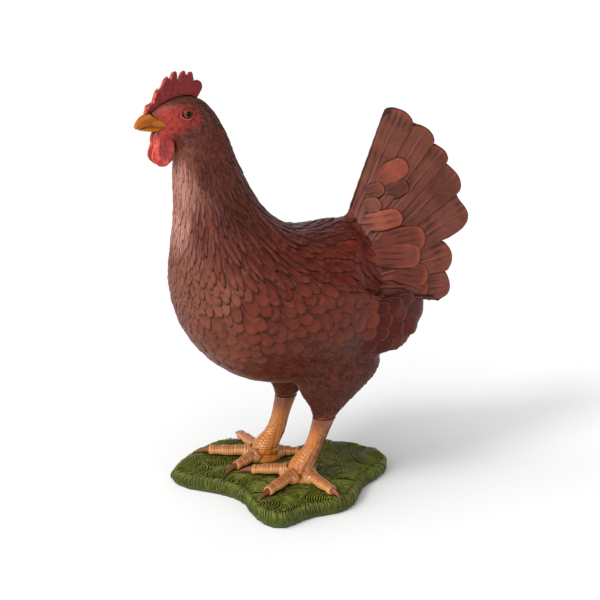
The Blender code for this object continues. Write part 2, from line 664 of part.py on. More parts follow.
def build_bill():
    """Upper and lower bill, each flat on the side of the mouth."""
    for name, rows, mouth in (("bill_upper", BILL_UPPER, -1), ("bill_lower", BILL_LOWER, 1)):
        rings = []
        for i in range(BILL_RINGS):
            top_y, top_z, low_y, low_z, wide = spline(rows, i * (len(rows) - 1) / (BILL_RINGS - 1))
            back = GAP if i == 0 else 0.0
            ring = []
            for k in range(BILL_SEGMENTS):
                spin = 2 * math.pi * k / BILL_SEGMENTS
                up = math.cos(spin)
                if up * mouth > 0:
                    up = mouth * min(1.0, abs(up) * BILL_FLAT)
                y = (top_y + low_y) / 2 + (top_y - low_y) / 2 * up - back
                z = (top_z + low_z) / 2 + (top_z - low_z) / 2 * up
                ring.append((wide * power_of(math.sin(spin), BILL_ROUND), y, z))
            rings.append(ring)
        solid(name, *loft(rings), "bill")


def build_wattles():
    """Two hanging drops, thin from side to side."""
    start, length = WATTLE_ROUNDED
    for side, sign in SIDES:
        rings = []
        for i in range(WATTLE_RINGS):
            drop = i / (WATTLE_RINGS - 1)
            x, y, z = (a + b * drop for a, b in zip(WATTLE_TOP, WATTLE_FALL))
            swell = math.sin(math.pi * drop * WATTLE_SWELL[0]) ** WATTLE_SWELL[1]
            deep = WATTLE_DEPTH[0] + WATTLE_DEPTH[1] * swell
            if drop >= start:
                deep *= math.sqrt(max(0.0, 1 - ((drop - start) / length) ** 2))
            wide = WATTLE_WIDTH[0] + WATTLE_WIDTH[1] * math.sin(math.pi * drop)
            rings.append(oval_ring(sign * x, y, z, wide, deep, WATTLE_SEGMENTS))
        solid("wattle_" + side, *loft(rings), "wattle")


def ball(name, shape):
    """An object made from an edit mesh, which is freed."""
    mesh = bpy.data.meshes.new(name)
    shape.to_mesh(mesh)
    shape.free()
    item = bpy.data.objects.new(name, mesh)
    bpy.context.scene.collection.objects.link(item)
    return item


def build_eyes(head):
    """Two round eyes and the sockets that are cut for them into the head."""
    for side, sign in SIDES:
        at = Matrix.Translation(Vector((sign * EYE_CENTRE[0], *EYE_CENTRE[1:])) * MM)
        shape = bmesh.new()
        radius = (EYE_RADIUS + SOCKET_GAP) * MM
        bmesh.ops.create_icosphere(shape, subdivisions=2, radius=radius, matrix=at)
        socket = ball("socket_" + side, shape)
        socket.hide_render = True
        socket.display_type = "WIRE"
        cut(head, socket)
        shape = bmesh.new()
        turned = at @ Matrix.Rotation(math.pi / 2, 4, "Y")
        bmesh.ops.create_uvsphere(shape, u_segments=EYE_SEGMENTS, v_segments=EYE_RINGS,
                                  radius=EYE_RADIUS * MM, matrix=turned)
        eye = ball("eye_" + side, shape)
        for face in eye.data.polygons:
            face.use_smooth = True
        eye.data.materials.append(paint("eye"))


def build_base():
    """The lobed grass base, flat underneath and rounded at its edge."""
    rows = BASE_OUTLINE + [(BASE_OUTLINE[0][0] + 360, BASE_OUTLINE[0][1])]
    before, after = BASE_OUTLINE[-1], BASE_OUTLINE[1]
    looped = [(before[0] - 360, before[1])] + rows + [(after[0] + 360, after[1])]
    edge = []
    for k in range(BASE_SEGMENTS):
        angle, radius = spline(looped, 1 + k * len(BASE_OUTLINE) / BASE_SEGMENTS)
        edge.append((math.radians(angle), radius))
    rings = []
    for reach, height in BASE_PROFILE:
        ring = []
        for angle, radius in edge:
            x = BASE_CENTRE[0] + radius * reach * math.cos(angle)
            y = BASE_CENTRE[1] + radius * reach * math.sin(angle)
            ring.append((x, y, base_top(x, y) * height))
        rings.append(ring)
    top = (*BASE_CENTRE, base_top(*BASE_CENTRE))
    solid("base_grass", *loft(rings, start=(*BASE_CENTRE, 0.0), end=top), "grass")


def main():
    """Build the statue."""
    clear_scene()
    head, trunk, cutter = build_body()
    wing_cutters = build_wings(trunk, cutter)
    build_tail(cutter)
    for (side, _), wing_cutter in zip(SIDES, wing_cutters):
        build_leg(side, cutter, wing_cutter)
    build_comb()
    build_bill()
    build_wattles()
    build_eyes(head)
    build_base()


main()
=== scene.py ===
"""Looks of the painted resin hen that stands on a carved grass base.

Tables and fields are in millimetres and MM turns them into metres. The bird faces -Y and its
left side is +X. One skin lies under the coat. Feather vanes are grown over it row by row,
along the lie of the coat, and Geometry Nodes lay each vane down on the skin.
"""
import itertools
import logging
import math
from collections.abc import Callable, Sequence
from dataclasses import dataclass, field
from enum import Enum

import bmesh
import bpy
import numpy as np
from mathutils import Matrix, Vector
from mathutils.bvhtree import BVHTree


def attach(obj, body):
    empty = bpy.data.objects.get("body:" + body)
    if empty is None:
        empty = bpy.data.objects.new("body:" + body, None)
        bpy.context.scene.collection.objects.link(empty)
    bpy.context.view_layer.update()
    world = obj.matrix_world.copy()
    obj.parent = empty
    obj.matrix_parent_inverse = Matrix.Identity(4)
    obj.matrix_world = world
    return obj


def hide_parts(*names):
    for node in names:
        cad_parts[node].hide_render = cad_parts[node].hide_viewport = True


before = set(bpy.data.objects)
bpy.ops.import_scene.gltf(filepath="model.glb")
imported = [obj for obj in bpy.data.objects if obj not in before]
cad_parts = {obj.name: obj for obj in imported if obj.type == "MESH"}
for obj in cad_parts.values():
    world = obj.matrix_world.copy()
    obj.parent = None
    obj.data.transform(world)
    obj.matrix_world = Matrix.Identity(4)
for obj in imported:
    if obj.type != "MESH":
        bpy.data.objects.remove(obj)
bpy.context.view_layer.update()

LOG = logging.getLogger("hen")
MM = 0.001
BODY = "root"
SIDES = (("left", 1.0), ("right", -1.0))
SADDLE_END = (71.0, 281.0)
SADDLE_SLOPE = (0.826, 0.563)
Array = np.ndarray
Pair = tuple[float, float]
Triple = tuple[float, float, float]
Item = bpy.types.Object
Socket = bpy.types.NodeSocket
Surface = Callable[[Array, Array], Array]


def toward(start: Array, end: Array, share: Array | float) -> Array:
    """Go from start to end by a share from 0 to 1."""
    return start + (end - start) * share


def step(low: float, high: float, value: Array) -> Array:
    """Rise softly from 0 at low to 1 at high."""
    share = np.clip((value - low) / (high - low), 0.0, 1.0)
    return share * share * (3 - 2 * share)


def hump(value: Array, middle: float, width: Array | float) -> Array:
    """Rise to 1 at the middle and fall off on both sides over a width."""
    return np.exp(-(((value - middle) / width) ** 2))


def over(paint: Array, colour: Sequence[float], share: Array) -> Array:
    """Lay a colour over painted points, on each by its own share."""
    return toward(paint, np.asarray(colour), share[..., None])


def unit(vectors: Array) -> Array:
    """Scale each row of three numbers to length one."""
    return vectors / np.maximum(np.linalg.norm(vectors, axis=-1, keepdims=True), 1e-12)


def uneven(places: Array, size: float) -> Array:
    """Swing irregularly between about -1 and 1.

    Args:
        places: Rows of x, y, z.
        size: Rough size of a patch.

    Returns:
        One number for each place.
    """
    x, y, z = places.T / size
    first = np.sin(2.1 * x + 1.7 * np.sin(1.3 * y)) + np.sin(2.7 * y + 1.9 * np.sin(1.7 * z))
    return (first + np.sin(2.3 * z + 1.5 * np.sin(1.9 * x + y))) / 3


class Shade(Enum):
    """Plumage paints, as linear red, green and blue."""

    NAPE = (0.052, 0.0125, 0.0085)
    NECK = (0.100, 0.0185, 0.0102)
    # Partly painted shade: the neck's sides are painted darker for the shade that falls on them.
    NECK_SIDE = (0.056, 0.0090, 0.0054)
    THROAT = (0.150, 0.050, 0.030)
    BREAST = (0.168, 0.053, 0.031)
    MANTLE = (0.098, 0.0155, 0.0082)
    BACK = (0.062, 0.0088, 0.0052)
    SADDLE = (0.104, 0.0122, 0.0056)
    WING = (0.114, 0.0195, 0.0098)
    WING_REAR = (0.068, 0.0050, 0.0017)
    FLANK = (0.050, 0.0078, 0.0026)
    BELLY = (0.082, 0.0205, 0.0105)
    FLUFF = (0.055, 0.0145, 0.0090)
    VENT = (0.085, 0.026, 0.018)
    BREAST_LOW = (0.130, 0.034, 0.0155)
    TAIL = (0.146, 0.044, 0.029)
    TAIL_LOW = (0.132, 0.036, 0.024)
    COVERT = (0.138, 0.031, 0.019)
    COVERT_RED = (0.240, 0.054, 0.031)
    COVERT_DARK = (0.115, 0.032, 0.022)
    COVERT_EDGE = (0.360, 0.080, 0.034)
    # Painted highlight: much lighter paint stands in for the satin sheen on the neck's lit front.
    NECK_FRONT = (0.430, 0.195, 0.150)


class Tract(Enum):
    """Parts of the coat; each becomes one piece."""

    NECK = "neck"
    TRUNK = "trunk"
    WING = "wing"
    THIGH = "thigh"


@dataclass(frozen=True)
class Lie:
    """How the coat lies at one place of the left side.

    Attributes:
        place: Where, in millimetres.
        toward: Which way the feathers point.
        width: Width of a feather.
        row: Distance from one row of feathers to the next.
        point: 0 for a round end, 1 for a lance shaped one.
        relief: How far the end of a feather stands over the skin.
        shade: Paint there.
        tract: Part of the coat it belongs to.
    """

    place: Triple
    toward: Triple
    width: float
    row: float
    point: float
    relief: float
    shade: Shade
    tract: Tract


LIES = (
    Lie((6, -84, 406), (0.1, 0.75, -0.6), 1.9, 2.6, 0.6, 0.8, Shade.NAPE, Tract.NECK),
    Lie((19, -80, 380), (0.0, 0.45, -0.9), 2.3, 3.6, 0.8, 0.9, Shade.NECK, Tract.NECK),
    Lie((12, -108, 368), (0.0, 0.1, -1.0), 1.9, 2.6, 0.6, 0.8, Shade.THROAT, Tract.NECK),
    Lie((7, -60, 382), (0.1, 0.5, -0.86), 2.6, 4.6, 0.9, 1.1, Shade.NAPE, Tract.NECK),
    Lie((23, -85, 350), (0.0, 0.12, -1.0), 2.8, 6.8, 0.9, 1.1, Shade.NECK_SIDE, Tract.NECK),
    # The neck's front takes the painted sheen.
    Lie((10, -110, 335), (0.0, 0.0, -1.0), 2.5, 6.0, 0.8, 1.0, Shade.NECK_FRONT, Tract.NECK),
    Lie((12, -109, 300), (0.0, 0.02, -1.0), 3.5, 7.0, 0.8, 1.1, Shade.NECK_FRONT, Tract.NECK),
    Lie((34, -68, 315), (0.1, 0.25, -1.0), 3.9, 9.2, 0.9, 1.4, Shade.NECK_SIDE, Tract.NECK),
    Lie((28, -94, 300), (0.05, 0.1, -1.0), 4.0, 9.0, 0.8, 1.4, Shade.NECK, Tract.NECK),
    Lie((9, -42, 340), (0.1, 0.45, -0.9), 3.5, 8.4, 0.9, 1.3, Shade.NAPE, Tract.NECK),
    Lie((46, -68, 272), (0.15, 0.3, -0.95), 5.9, 12.0, 0.85, 1.7, Shade.NECK, Tract.NECK),
    Lie((40, -42, 285), (0.2, 0.5, -0.86), 5.8, 11.5, 0.85, 1.7, Shade.MANTLE, Tract.NECK),
    Lie((14, -20, 300), (0.2, 0.8, -0.6), 5.4, 10.0, 0.85, 1.6, Shade.BACK, Tract.NECK),
    Lie((57, -42, 250), (0.15, 0.6, -0.8), 8.4, 10.5, 0.7, 1.8, Shade.MANTLE, Tract.NECK),
    Lie((60, -12, 256), (0.15, 0.8, -0.6), 8.6, 10.0, 0.65, 1.8, Shade.MANTLE, Tract.TRUNK),
    Lie((14, 18, 275), (0.12, 1.0, -0.1), 7.0, 8.5, 0.75, 1.4, Shade.BACK, Tract.TRUNK),
    Lie((56, 25, 258), (0.2, 0.85, -0.5), 8.6, 10.0, 0.65, 1.8, Shade.SADDLE, Tract.TRUNK),
    Lie((20, 58, 276), (0.4, 0.8, -0.45), 7.5, 9.0, 0.75, 1.5, Shade.BACK, Tract.TRUNK),
    Lie((50, 62, 250), (0.15, 0.75, -0.65), 8.8, 10.5, 0.75, 1.8, Shade.SADDLE, Tract.TRUNK),
    Lie((48, 88, 228), (0.0, 0.75, -0.66), 8.6, 10.5, 0.75, 1.8, Shade.SADDLE, Tract.TRUNK),
    Lie((10, -114, 255), (0.0, 0.05, -1.0), 4.2, 4.6, 0.4, 1.2, Shade.BREAST, Tract.TRUNK),
    Lie((30, -108, 235), (0.1, 0.15, -1.0), 5.4, 5.0, 0.25, 1.3, Shade.BREAST, Tract.TRUNK),
    Lie((12, -105, 195), (0.0, 0.4, -0.9), 6.2, 5.0, 0.1, 1.1, Shade.BREAST_LOW, Tract.TRUNK),
    Lie((52, -84, 235), (0.1, 0.3, -0.95), 10.0, 8.0, 0.25, 1.6, Shade.BREAST, Tract.TRUNK),
    Lie((48, -82, 185), (0.0, 0.6, -0.8), 11.5, 8.5, 0.05, 0.9, Shade.BREAST_LOW, Tract.TRUNK),
    Lie((20, -55, 132), (0.0, 1.0, -0.35), 11.0, 9.0, 0.1, 0.55, Shade.BELLY, Tract.TRUNK),
    Lie((58, -35, 158), (0.0, 1.0, -0.3), 15.0, 11.0, 0.1, 0.55, Shade.FLANK, Tract.TRUNK),
    Lie((20, 5, 117), (0.0, 1.0, -0.1), 9.0, 8.0, 0.2, 0.8, Shade.BELLY, Tract.TRUNK),
    Lie((20, 62, 126), (0.0, 1.0, -0.1), 6.0, 7.0, 0.6, 0.9, Shade.VENT, Tract.THIGH),
    Lie((18, 100, 165), (0.0, 0.7, 0.4), 5.5, 7.5, 0.6, 1.1, Shade.VENT, Tract.THIGH),
    Lie((30, 100, 250), (0.0, 0.9, 0.3), 12.0, 12.0, 0.3, 1.4, Shade.TAIL_LOW, Tract.TRUNK),
    Lie((16, 92, 292), (0.0, 0.8, 0.6), 12.0, 12.0, 0.3, 1.4, Shade.TAIL_LOW, Tract.TRUNK),
    Lie((70, -62, 228), (0.1, 0.55, -0.85), 13.0, 9.0, 0.1, 1.8, Shade.WING, Tract.WING),
    Lie((72, -66, 196), (0.1, 0.7, -0.7), 13.5, 9.0, 0.0, 1.3, Shade.WING, Tract.WING),
    Lie((78, -20, 236), (0.0, 0.8, -0.6), 13.0, 9.0, 0.2, 1.9, Shade.WING, Tract.WING),
    Lie((80, 2, 206), (0.0, 0.95, -0.35), 15.0, 10.0, 0.0, 1.8, Shade.WING, Tract.WING),
    Lie((74, -20, 170), (0.0, 1.0, -0.15), 16.5, 11.5, 0.0, 0.8, Shade.FLANK, Tract.WING),
    Lie((76, 30, 168), (0.0, 1.0, -0.1), 17.0, 12.0, 0.0, 1.0, Shade.FLANK, Tract.WING),
    Lie((78, 48, 200), (0.0, 0.95, -0.3), 17.5, 12.0, 0.0, 1.8, Shade.WING, Tract.WING),
    Lie((70, 82, 180), (-0.1, 1.0, -0.25), 20.0, 13.5, 0.0, 1.8, Shade.WING_REAR, Tract.WING),
    Lie((62, 25, 144), (0.0, 0.75, -0.65), 9.0, 8.0, 0.4, 0.6, Shade.FLANK, Tract.THIGH),
    Lie((62, 40, 124), (0.0, 0.35, -0.95), 2.6, 4.4, 0.9, 0.9, Shade.FLUFF, Tract.THIGH),
    Lie((58, 5, 128), (0.0, 0.8, -0.6), 2.6, 4.4, 0.9, 0.9, Shade.FLUFF, Tract.THIGH),
    Lie((45, 84, 132), (-0.1, 0.3, -0.95), 2.8, 4.6, 0.9, 0.9, Shade.FLUFF, Tract.THIGH),
    Lie((46, 32, 98), (-0.1, 0.0, -1.0), 2.4, 4.0, 0.9, 0.8, Shade.FLUFF, Tract.THIGH),
    Lie((14, 35, 112), (0.1, 0.2, -1.0), 2.8, 4.8, 0.9, 0.8, Shade.FLUFF, Tract.THIGH),
)


@dataclass(frozen=True)
class Flow:
    """What one node hands on, so that sums of nodes are written as on paper.

    Attributes:
        wiring: Adds the nodes of the sum.
        socket: Output socket.
    """

    wiring: "Wiring"
    socket: Socket

    def __add__(self, other: "Value") -> "Flow":
        """Add."""
        return self.wiring.math("ADD", self, other)

    def __sub__(self, other: "Value") -> "Flow":
        """Take away."""
        return self.wiring.math("SUBTRACT", self, other)

    def __rsub__(self, other: "Value") -> "Flow":
        """Take from a plain number."""
        return self.wiring.math("SUBTRACT", other, self)

    def __mul__(self, other: "Value") -> "Flow":
        """Multiply."""
        return self.wiring.math("MULTIPLY", self, other)

    def __truediv__(self, other: "Value") -> "Flow":
        """Divide."""
        return self.wiring.math("DIVIDE", self, other)

    def __rtruediv__(self, other: "Value") -> "Flow":
        """Divide a plain number."""
        return self.wiring.math("DIVIDE", other, self)

    def __pow__(self, other: "Value") -> "Flow":
        """Raise to a power."""
        return self.wiring.math("POWER", self, other)

    def __abs__(self) -> "Flow":
        """Drop the sign."""
        return self.wiring.math("ABSOLUTE", self)


Value = Flow | Socket | float | tuple[float, ...] | bpy.types.ID | str


class Wiring:
    """Adds and links the nodes of one tree, for shaders and for Geometry Nodes."""

    def __init__(self, tree: bpy.types.NodeTree) -> None:
        """Keep the tree of a material, a world or a modifier."""
        self.tree = tree

    def feed(self, socket: Socket, value: Value) -> None:
        """Link something into an input socket, or set the socket's value.

        Args:
            socket: Input socket.
            value: What to link, or a plain value.
        """
        if isinstance(value, Flow):
            value = value.socket
        if isinstance(value, bpy.types.NodeSocket):
            self.tree.links.new(value, socket)
        else:
            socket.default_value = value

    def node(self, kind: str, inputs: dict[str | int, Value] | None = None,
             **settings: object) -> bpy.types.Node:
        """Add one node.

        Args:
            kind: The node's type name.
            inputs: What goes into its sockets, by name or number.
            **settings: The node's own settings.

        Returns:
            The new node.
        """
        made = self.tree.nodes.new(kind)
        for name, value in settings.items():
            setattr(made, name, value)
        for name, value in (inputs or {}).items():
            self.feed(made.inputs[name], value)
        return made

    def flow(self, kind: str, inputs: dict[str | int, Value] | None = None, out: str | int = 0,
             **settings: object) -> Flow:
        """Add one node and take one of its outputs.

        Args:
            kind: The node's type name.
            inputs: What goes into its sockets, by name or number.
            out: Name or number of the output.
            **settings: The node's own settings.

        Returns:
            That output.
        """
        return Flow(self, self.node(kind, inputs, **settings).outputs[out])

    def math(self, operation: str, *values: Value) -> Flow:
        """Add a Math node for one to three numbers."""
        return self.flow("ShaderNodeMath", dict(enumerate(values)), operation=operation)

    def larger(self, first: Value, second: Value) -> Flow:
        """Take the larger of two numbers."""
        return self.math("MAXIMUM", first, second)

    def scaled(self, vector: Value, size: Value) -> Flow:
        """Scale a vector or a colour."""
        return self.flow("ShaderNodeVectorMath", {0: vector, "Scale": size}, operation="SCALE")

    def ease(self, low: float, high: float, value: Value) -> Flow:
        """Rise softly from 0 at low to 1 at high."""
        inputs = {"Value": value, "From Min": low, "From Max": high}
        return self.flow("ShaderNodeMapRange", inputs, "Result", interpolation_type="SMOOTHSTEP")

    def blend(self, share: Value, first: Value, second: Value) -> Flow:
        """Mix a share of a second colour into a first one."""
        return self.flow("ShaderNodeMix", {0: share, 6: first, 7: second}, 2, data_type="RGBA")

    def noise(self, place: Value, scale: float, detail: float = 3.0, rough: float = 0.55) -> Flow:
        """Add a noise pattern round 0.5, with patches of 1 / scale and finer levels."""
        inputs = {"Vector": place, "Scale": scale, "Detail": detail, "Roughness": rough}
        return self.flow("ShaderNodeTexNoise", inputs)

    def own(self, name: str, kind: str = "Fac") -> Flow:
        """Read a value that the mesh carries, as Fac, or as Color for three numbers."""
        return self.flow("ShaderNodeAttribute", out=kind, attribute_name=name)

    def carried(self, name: str, kind: str = "FLOAT") -> Flow:
        """Read a value that the points carry, in Geometry Nodes."""
        return self.flow("GeometryNodeInputNamedAttribute", {"Name": name}, "Attribute", data_type=kind)

    def store(self, whole: Value, name: str, value: Value) -> Flow:
        """Keep a number at each point, in Geometry Nodes."""
        inputs = {"Geometry": whole, "Name": name, "Value": value}
        return self.flow("GeometryNodeStoreNamedAttribute", inputs, data_type="FLOAT", domain="POINT")


class Group(Wiring):
    """Geometry Nodes with named inputs, which run on one object at a time."""

    def __init__(self, name: str, **inputs: str) -> None:
        """Make the tree with its inputs.

        Args:
            name: Name of the tree.
            **inputs: Kind of each named input, such as Float or Material.
        """
        super().__init__(bpy.data.node_groups.new(name, "GeometryNodeTree"))
        face = self.tree.interface
        self.keys = {}
        for label, kind in inputs.items():
            made = face.new_socket(name=label, in_out="INPUT", socket_type="NodeSocket" + kind)
            self.keys[label] = made.identifier
        face.new_socket(name="Result", in_out="OUTPUT", socket_type="NodeSocketGeometry")
        self.inputs = self.node("NodeGroupInput").outputs

    def close(self, whole: Value) -> None:
        """Give the geometry its material and end the tree."""
        whole = self.flow("GeometryNodeSetShadeSmooth", {"Geometry": whole})
        whole = self.flow("GeometryNodeSetMaterial", {"Geometry": whole, "Material": self.inputs["Finish"]})
        self.node("NodeGroupOutput", {"Result": whole})

    def run(self, item: Item, **values: object) -> Item:
        """Run the tree on an object and keep the mesh that it gives.

        Args:
            item: The object.
            **values: What goes into the named inputs.

        Returns:
            The same object.
        """
        modifier = item.modifiers.new("nodes", "NODES")
        modifier.node_group = self.tree
        for label, value in values.items():
            modifier[self.keys[label]] = value
        return plain(item)


def opaque(colour: Triple) -> tuple[float, ...]:
    """Add full alpha to a colour."""
    return (*colour, 1.0)


@dataclass(frozen=True)
class Finish:
    """Hand painted resin: a base coat, a dark wash in the hollows that is partly painted shade, and a dry
    brushed edge that is partly a painted highlight.

    Attributes:
        name: Material name.
        base: Base coat.
        wash: Dark paint of hollows, crevices and feather edges: partly a real wash, partly painted shade.
        brush_and_highlight: Light paint on the high edges, and a painted highlight on faces turned to the
            light.
        rough: Roughness of the varnish.
        wash_and_shade_reach: How wide a hollow the wash and the painted shade fill.
        wash_and_shade_share: How dark the wash and the painted shade are.
        brush_and_highlight_share: How strong the dry brushing and the painted highlight are.
        grain: Height of the fine surface grain.
        gloss: Specular level of the varnish.
    """

    name: str
    base: Triple
    wash: Triple
    brush_and_highlight: Triple
    rough: float = 0.5
    wash_and_shade_reach: float = 2.5
    wash_and_shade_share: float = 0.9
    brush_and_highlight_share: float = 0.3
    grain: float = 0.1
    gloss: float = 0.35

    def base_coat(self, wiring: Wiring, place: Flow) -> Flow:
        """Colour before wash and brush.

        Args:
            wiring: Where nodes are added.
            place: Object coordinates.

        Returns:
            The colour.
        """
        darker = opaque(tuple(0.8 * part for part in self.base))
        return wiring.blend(wiring.ease(0.3, 0.7, wiring.noise(place, 70.0)), darker, opaque(self.base))

    def height(self, wiring: Wiring, place: Flow) -> Flow:
        """Fine height of the surface, in millimetres."""
        return wiring.noise(place, 900.0) * self.grain

    def material(self) -> bpy.types.Material:
        """Build the material, or find it if it is there.

        Returns:
            The material.
        """
        made = bpy.data.materials.get(self.name)
        if made is not None:
            return made
        made = bpy.data.materials.new(self.name)
        made.use_nodes = True
        wiring = Wiring(made.node_tree)
        place = wiring.flow("ShaderNodeTexCoord", out="Object")
        # Dry brush on high edges; on the comb's and wattles' fronts it is a painted highlight, and on the tops
        # of the grass blades partly one.
        touch = wiring.own("crest") * wiring.ease(0.35, 0.62, wiring.noise(place, 260.0)) * self.brush_and_highlight_share
        colour = wiring.blend(touch, self.base_coat(wiring, place), opaque(self.brush_and_highlight))
        # Painted shade, partly a real wash: ambient occlusion darkens the colour in hollows and crevices,
        # together with the dark paint that the mesh carries.
        reach = {"Distance": self.wash_and_shade_reach * MM}
        hidden = 1.0 - wiring.flow("ShaderNodeAmbientOcclusion", reach, "AO", samples=8)
        wash = wiring.larger(wiring.ease(0.10, 0.62, hidden), wiring.own("wash")) * self.wash_and_shade_share
        bump = {"Strength": 1.0, "Distance": MM, "Height": self.height(wiring, place)}
        inputs = {
            "Base Color": wiring.blend(wash, colour, opaque(self.wash)),
            "Roughness": wiring.noise(place, 120.0) * 0.24 + (self.rough - 0.12),
            "Normal": wiring.flow("ShaderNodeBump", bump, "Normal"),
            "Specular IOR Level": self.gloss,
        }
        shader = made.node_tree.nodes["Principled BSDF"]
        for name, value in inputs.items():
            wiring.feed(shader.inputs[name], value)
        return made


@dataclass(frozen=True)
class FeatherFinish(Finish):
    """Painted feathers: each vane takes its own shade and has combed barbs.

    Attributes:
        barb: Height of the barbs.
    """

    barb: float = 0.10

    def streaks(self, wiring: Wiring) -> Flow:
        """Fine lines that leave the shaft slantwise."""
        parts = {"X": wiring.own("barb"), "Y": wiring.own("across") * 0.5, "Z": wiring.own("tint") * 40.0}
        return wiring.noise(wiring.flow("ShaderNodeCombineXYZ", parts), 1.0, 2.0, 0.6)

    def base_coat(self, wiring: Wiring, place: Flow) -> Flow:
        """Shade that the vane carries, uneven from vane to vane and along the barbs."""
        level = (wiring.own("tint") * 0.34 + 0.84) * (self.streaks(wiring) * 0.8 + 0.62)
        return wiring.scaled(wiring.own("paint", "Color"), level * (wiring.noise(place, 40.0) * 0.3 + 0.85))

    def height(self, wiring: Wiring, place: Flow) -> Flow:
        """Barbs and a fine resin grain."""
        return self.streaks(wiring) * self.barb + wiring.noise(place, 700.0) * self.grain


@dataclass(frozen=True)
class PaintedFinish(Finish):
    """Finish whose base coat is the paint that the mesh carries."""

    def base_coat(self, wiring: Wiring, place: Flow) -> Flow:
        """Carried paint, a little uneven."""
        level = (wiring.noise(place, 60.0) * 0.5 + 0.75) * (wiring.noise(place, 420.0) * 0.36 + 0.82)
        return wiring.scaled(wiring.own("paint", "Color"), level)


@dataclass(frozen=True)
class FleshFinish(PaintedFinish):
    """Pebbled flesh of comb, wattles and face.

    Attributes:
        pebble: Height of the pebbles.
        size: Distance between pebbles.
    """

    pebble: float = 0.16
    size: float = 0.9

    def pebbles(self, wiring: Wiring, place: Flow) -> Flow:
        """Round grains, from 0 at their edges to 1."""
        inputs = {"Vector": place, "Scale": 1.0 / (self.size * MM)}
        gap = wiring.flow("ShaderNodeTexVoronoi", inputs, "Distance", feature="SMOOTH_F1")
        return wiring.ease(0.75, 0.1, gap)

    def height(self, wiring: Wiring, place: Flow) -> Flow:
        """Pebbles on the bare flesh."""
        return self.pebbles(wiring, place) * self.pebble + wiring.noise(place, 700.0) * self.grain

    def base_coat(self, wiring: Wiring, place: Flow) -> Flow:
        """Carried paint, lighter on the pebbles."""
        return wiring.scaled(super().base_coat(wiring, place), self.pebbles(wiring, place) * 0.34 + 0.78)


@dataclass(frozen=True)
class EyeFinish(Finish):
    """Glossy eye with a brown iris round a black pupil.

    Attributes:
        axis: Middle of the eye, as y and z.
        pupil: Radius of the pupil.
        iris: Radius of the iris.
        dark: Paint of the pupil.
    """

    axis: Pair = (-99.9, 395.6)
    pupil: float = 2.65
    iris: float = 5.0
    dark: Triple = (0.0015, 0.0012, 0.001)

    def base_coat(self, wiring: Wiring, place: Flow) -> Flow:
        """Pupil, iris with fine rays, and a dark rim."""
        parts = wiring.node("ShaderNodeSeparateXYZ", {0: place}).outputs
        y, z = (Flow(wiring, parts[name]) / MM - middle for name, middle in zip("YZ", self.axis))
        reach = (y * y + z * z) ** 0.5
        turn = wiring.math("ARCTAN2", z, y)
        rays = wiring.flow("ShaderNodeCombineXYZ", {"X": turn * 5.0, "Y": reach * 0.3})
        iris = wiring.scaled(self.base, wiring.noise(rays, 1.6) * 1.1 + 0.45)
        iris = wiring.blend(wiring.ease(self.iris - 0.9, self.iris, reach), iris, opaque(self.wash))
        return wiring.blend(wiring.ease(self.pupil + 0.15, self.pupil - 0.15, reach), iris, opaque(self.dark))


FEATHERS = FeatherFinish(
    "painted_feathers", base=Shade.WING.value, wash=(0.012, 0.0045, 0.004), brush_and_highlight=(0.36, 0.085, 0.045),
    rough=0.40, wash_and_shade_reach=2.6, wash_and_shade_share=1.0, brush_and_highlight_share=0.35, grain=0.06, barb=0.28, gloss=0.14)
FACE_FLESH = FleshFinish(
    "face_flesh", base=(0.3, 0.05, 0.04), wash=(0.030, 0.008, 0.008), brush_and_highlight=(0.60, 0.16, 0.12),
    rough=0.44, wash_and_shade_reach=1.8, wash_and_shade_share=0.9, brush_and_highlight_share=0.25, pebble=0.16, size=1.3, gloss=0.14)
# The comb's light paint is a painted highlight on its front.
COMB_FLESH = FleshFinish(
    "comb_flesh", base=(0.185, 0.0160, 0.0180), wash=(0.035, 0.005, 0.007), brush_and_highlight=(0.80, 0.10, 0.045),
    rough=0.36, wash_and_shade_reach=2.2, wash_and_shade_share=0.85, brush_and_highlight_share=0.95, pebble=0.5, size=1.7, gloss=0.2)
# The wattles' light paint is dry brush on the rim and a painted highlight on the front.
WATTLE_FLESH = FleshFinish(
    "wattle_flesh", base=(0.43, 0.031, 0.024), wash=(0.05, 0.007, 0.008), brush_and_highlight=(0.85, 0.17, 0.11),
    rough=0.32, wash_and_shade_reach=2.5, wash_and_shade_share=0.75, brush_and_highlight_share=0.6, pebble=0.2, size=1.3, gloss=0.35)
HORN = PaintedFinish(
    "beak_horn", base=(0.36, 0.090, 0.0014), wash=(0.07, 0.018, 0.003), brush_and_highlight=(0.85, 0.40, 0.04),
    rough=0.30, wash_and_shade_reach=1.2, grain=0.05, gloss=0.2)
EYE_GLASS = EyeFinish(
    "eye_glass", base=(0.20, 0.032, 0.012), wash=(0.03, 0.01, 0.008), brush_and_highlight=(0.24, 0.055, 0.022),
    rough=0.12, wash_and_shade_reach=0.8, brush_and_highlight_share=0.0, grain=0.0, gloss=0.12)
SCALES = PaintedFinish(
    "leg_scales", base=(0.40, 0.15, 0.05), wash=(0.10, 0.024, 0.006), brush_and_highlight=(0.90, 0.56, 0.24),
    rough=0.2, wash_and_shade_reach=1.8, wash_and_shade_share=0.95, brush_and_highlight_share=0.2, grain=0.04, gloss=0.55)
CLAW_HORN = PaintedFinish(
    "claw_horn", base=(0.22, 0.055, 0.017), wash=(0.04, 0.012, 0.006), brush_and_highlight=(0.5, 0.2, 0.09),
    rough=0.36, wash_and_shade_reach=1.2)
# The grass's light paint is partly dry brush and partly a painted highlight on the blades' upper faces.
GRASS = PaintedFinish(
    "painted_grass", base=(0.050, 0.066, 0.008), wash=(0.009, 0.013, 0.002), brush_and_highlight=(0.30, 0.31, 0.035),
    rough=0.42, wash_and_shade_reach=2.2, wash_and_shade_share=1.0, brush_and_highlight_share=0.6, grain=0.06, gloss=0.25)


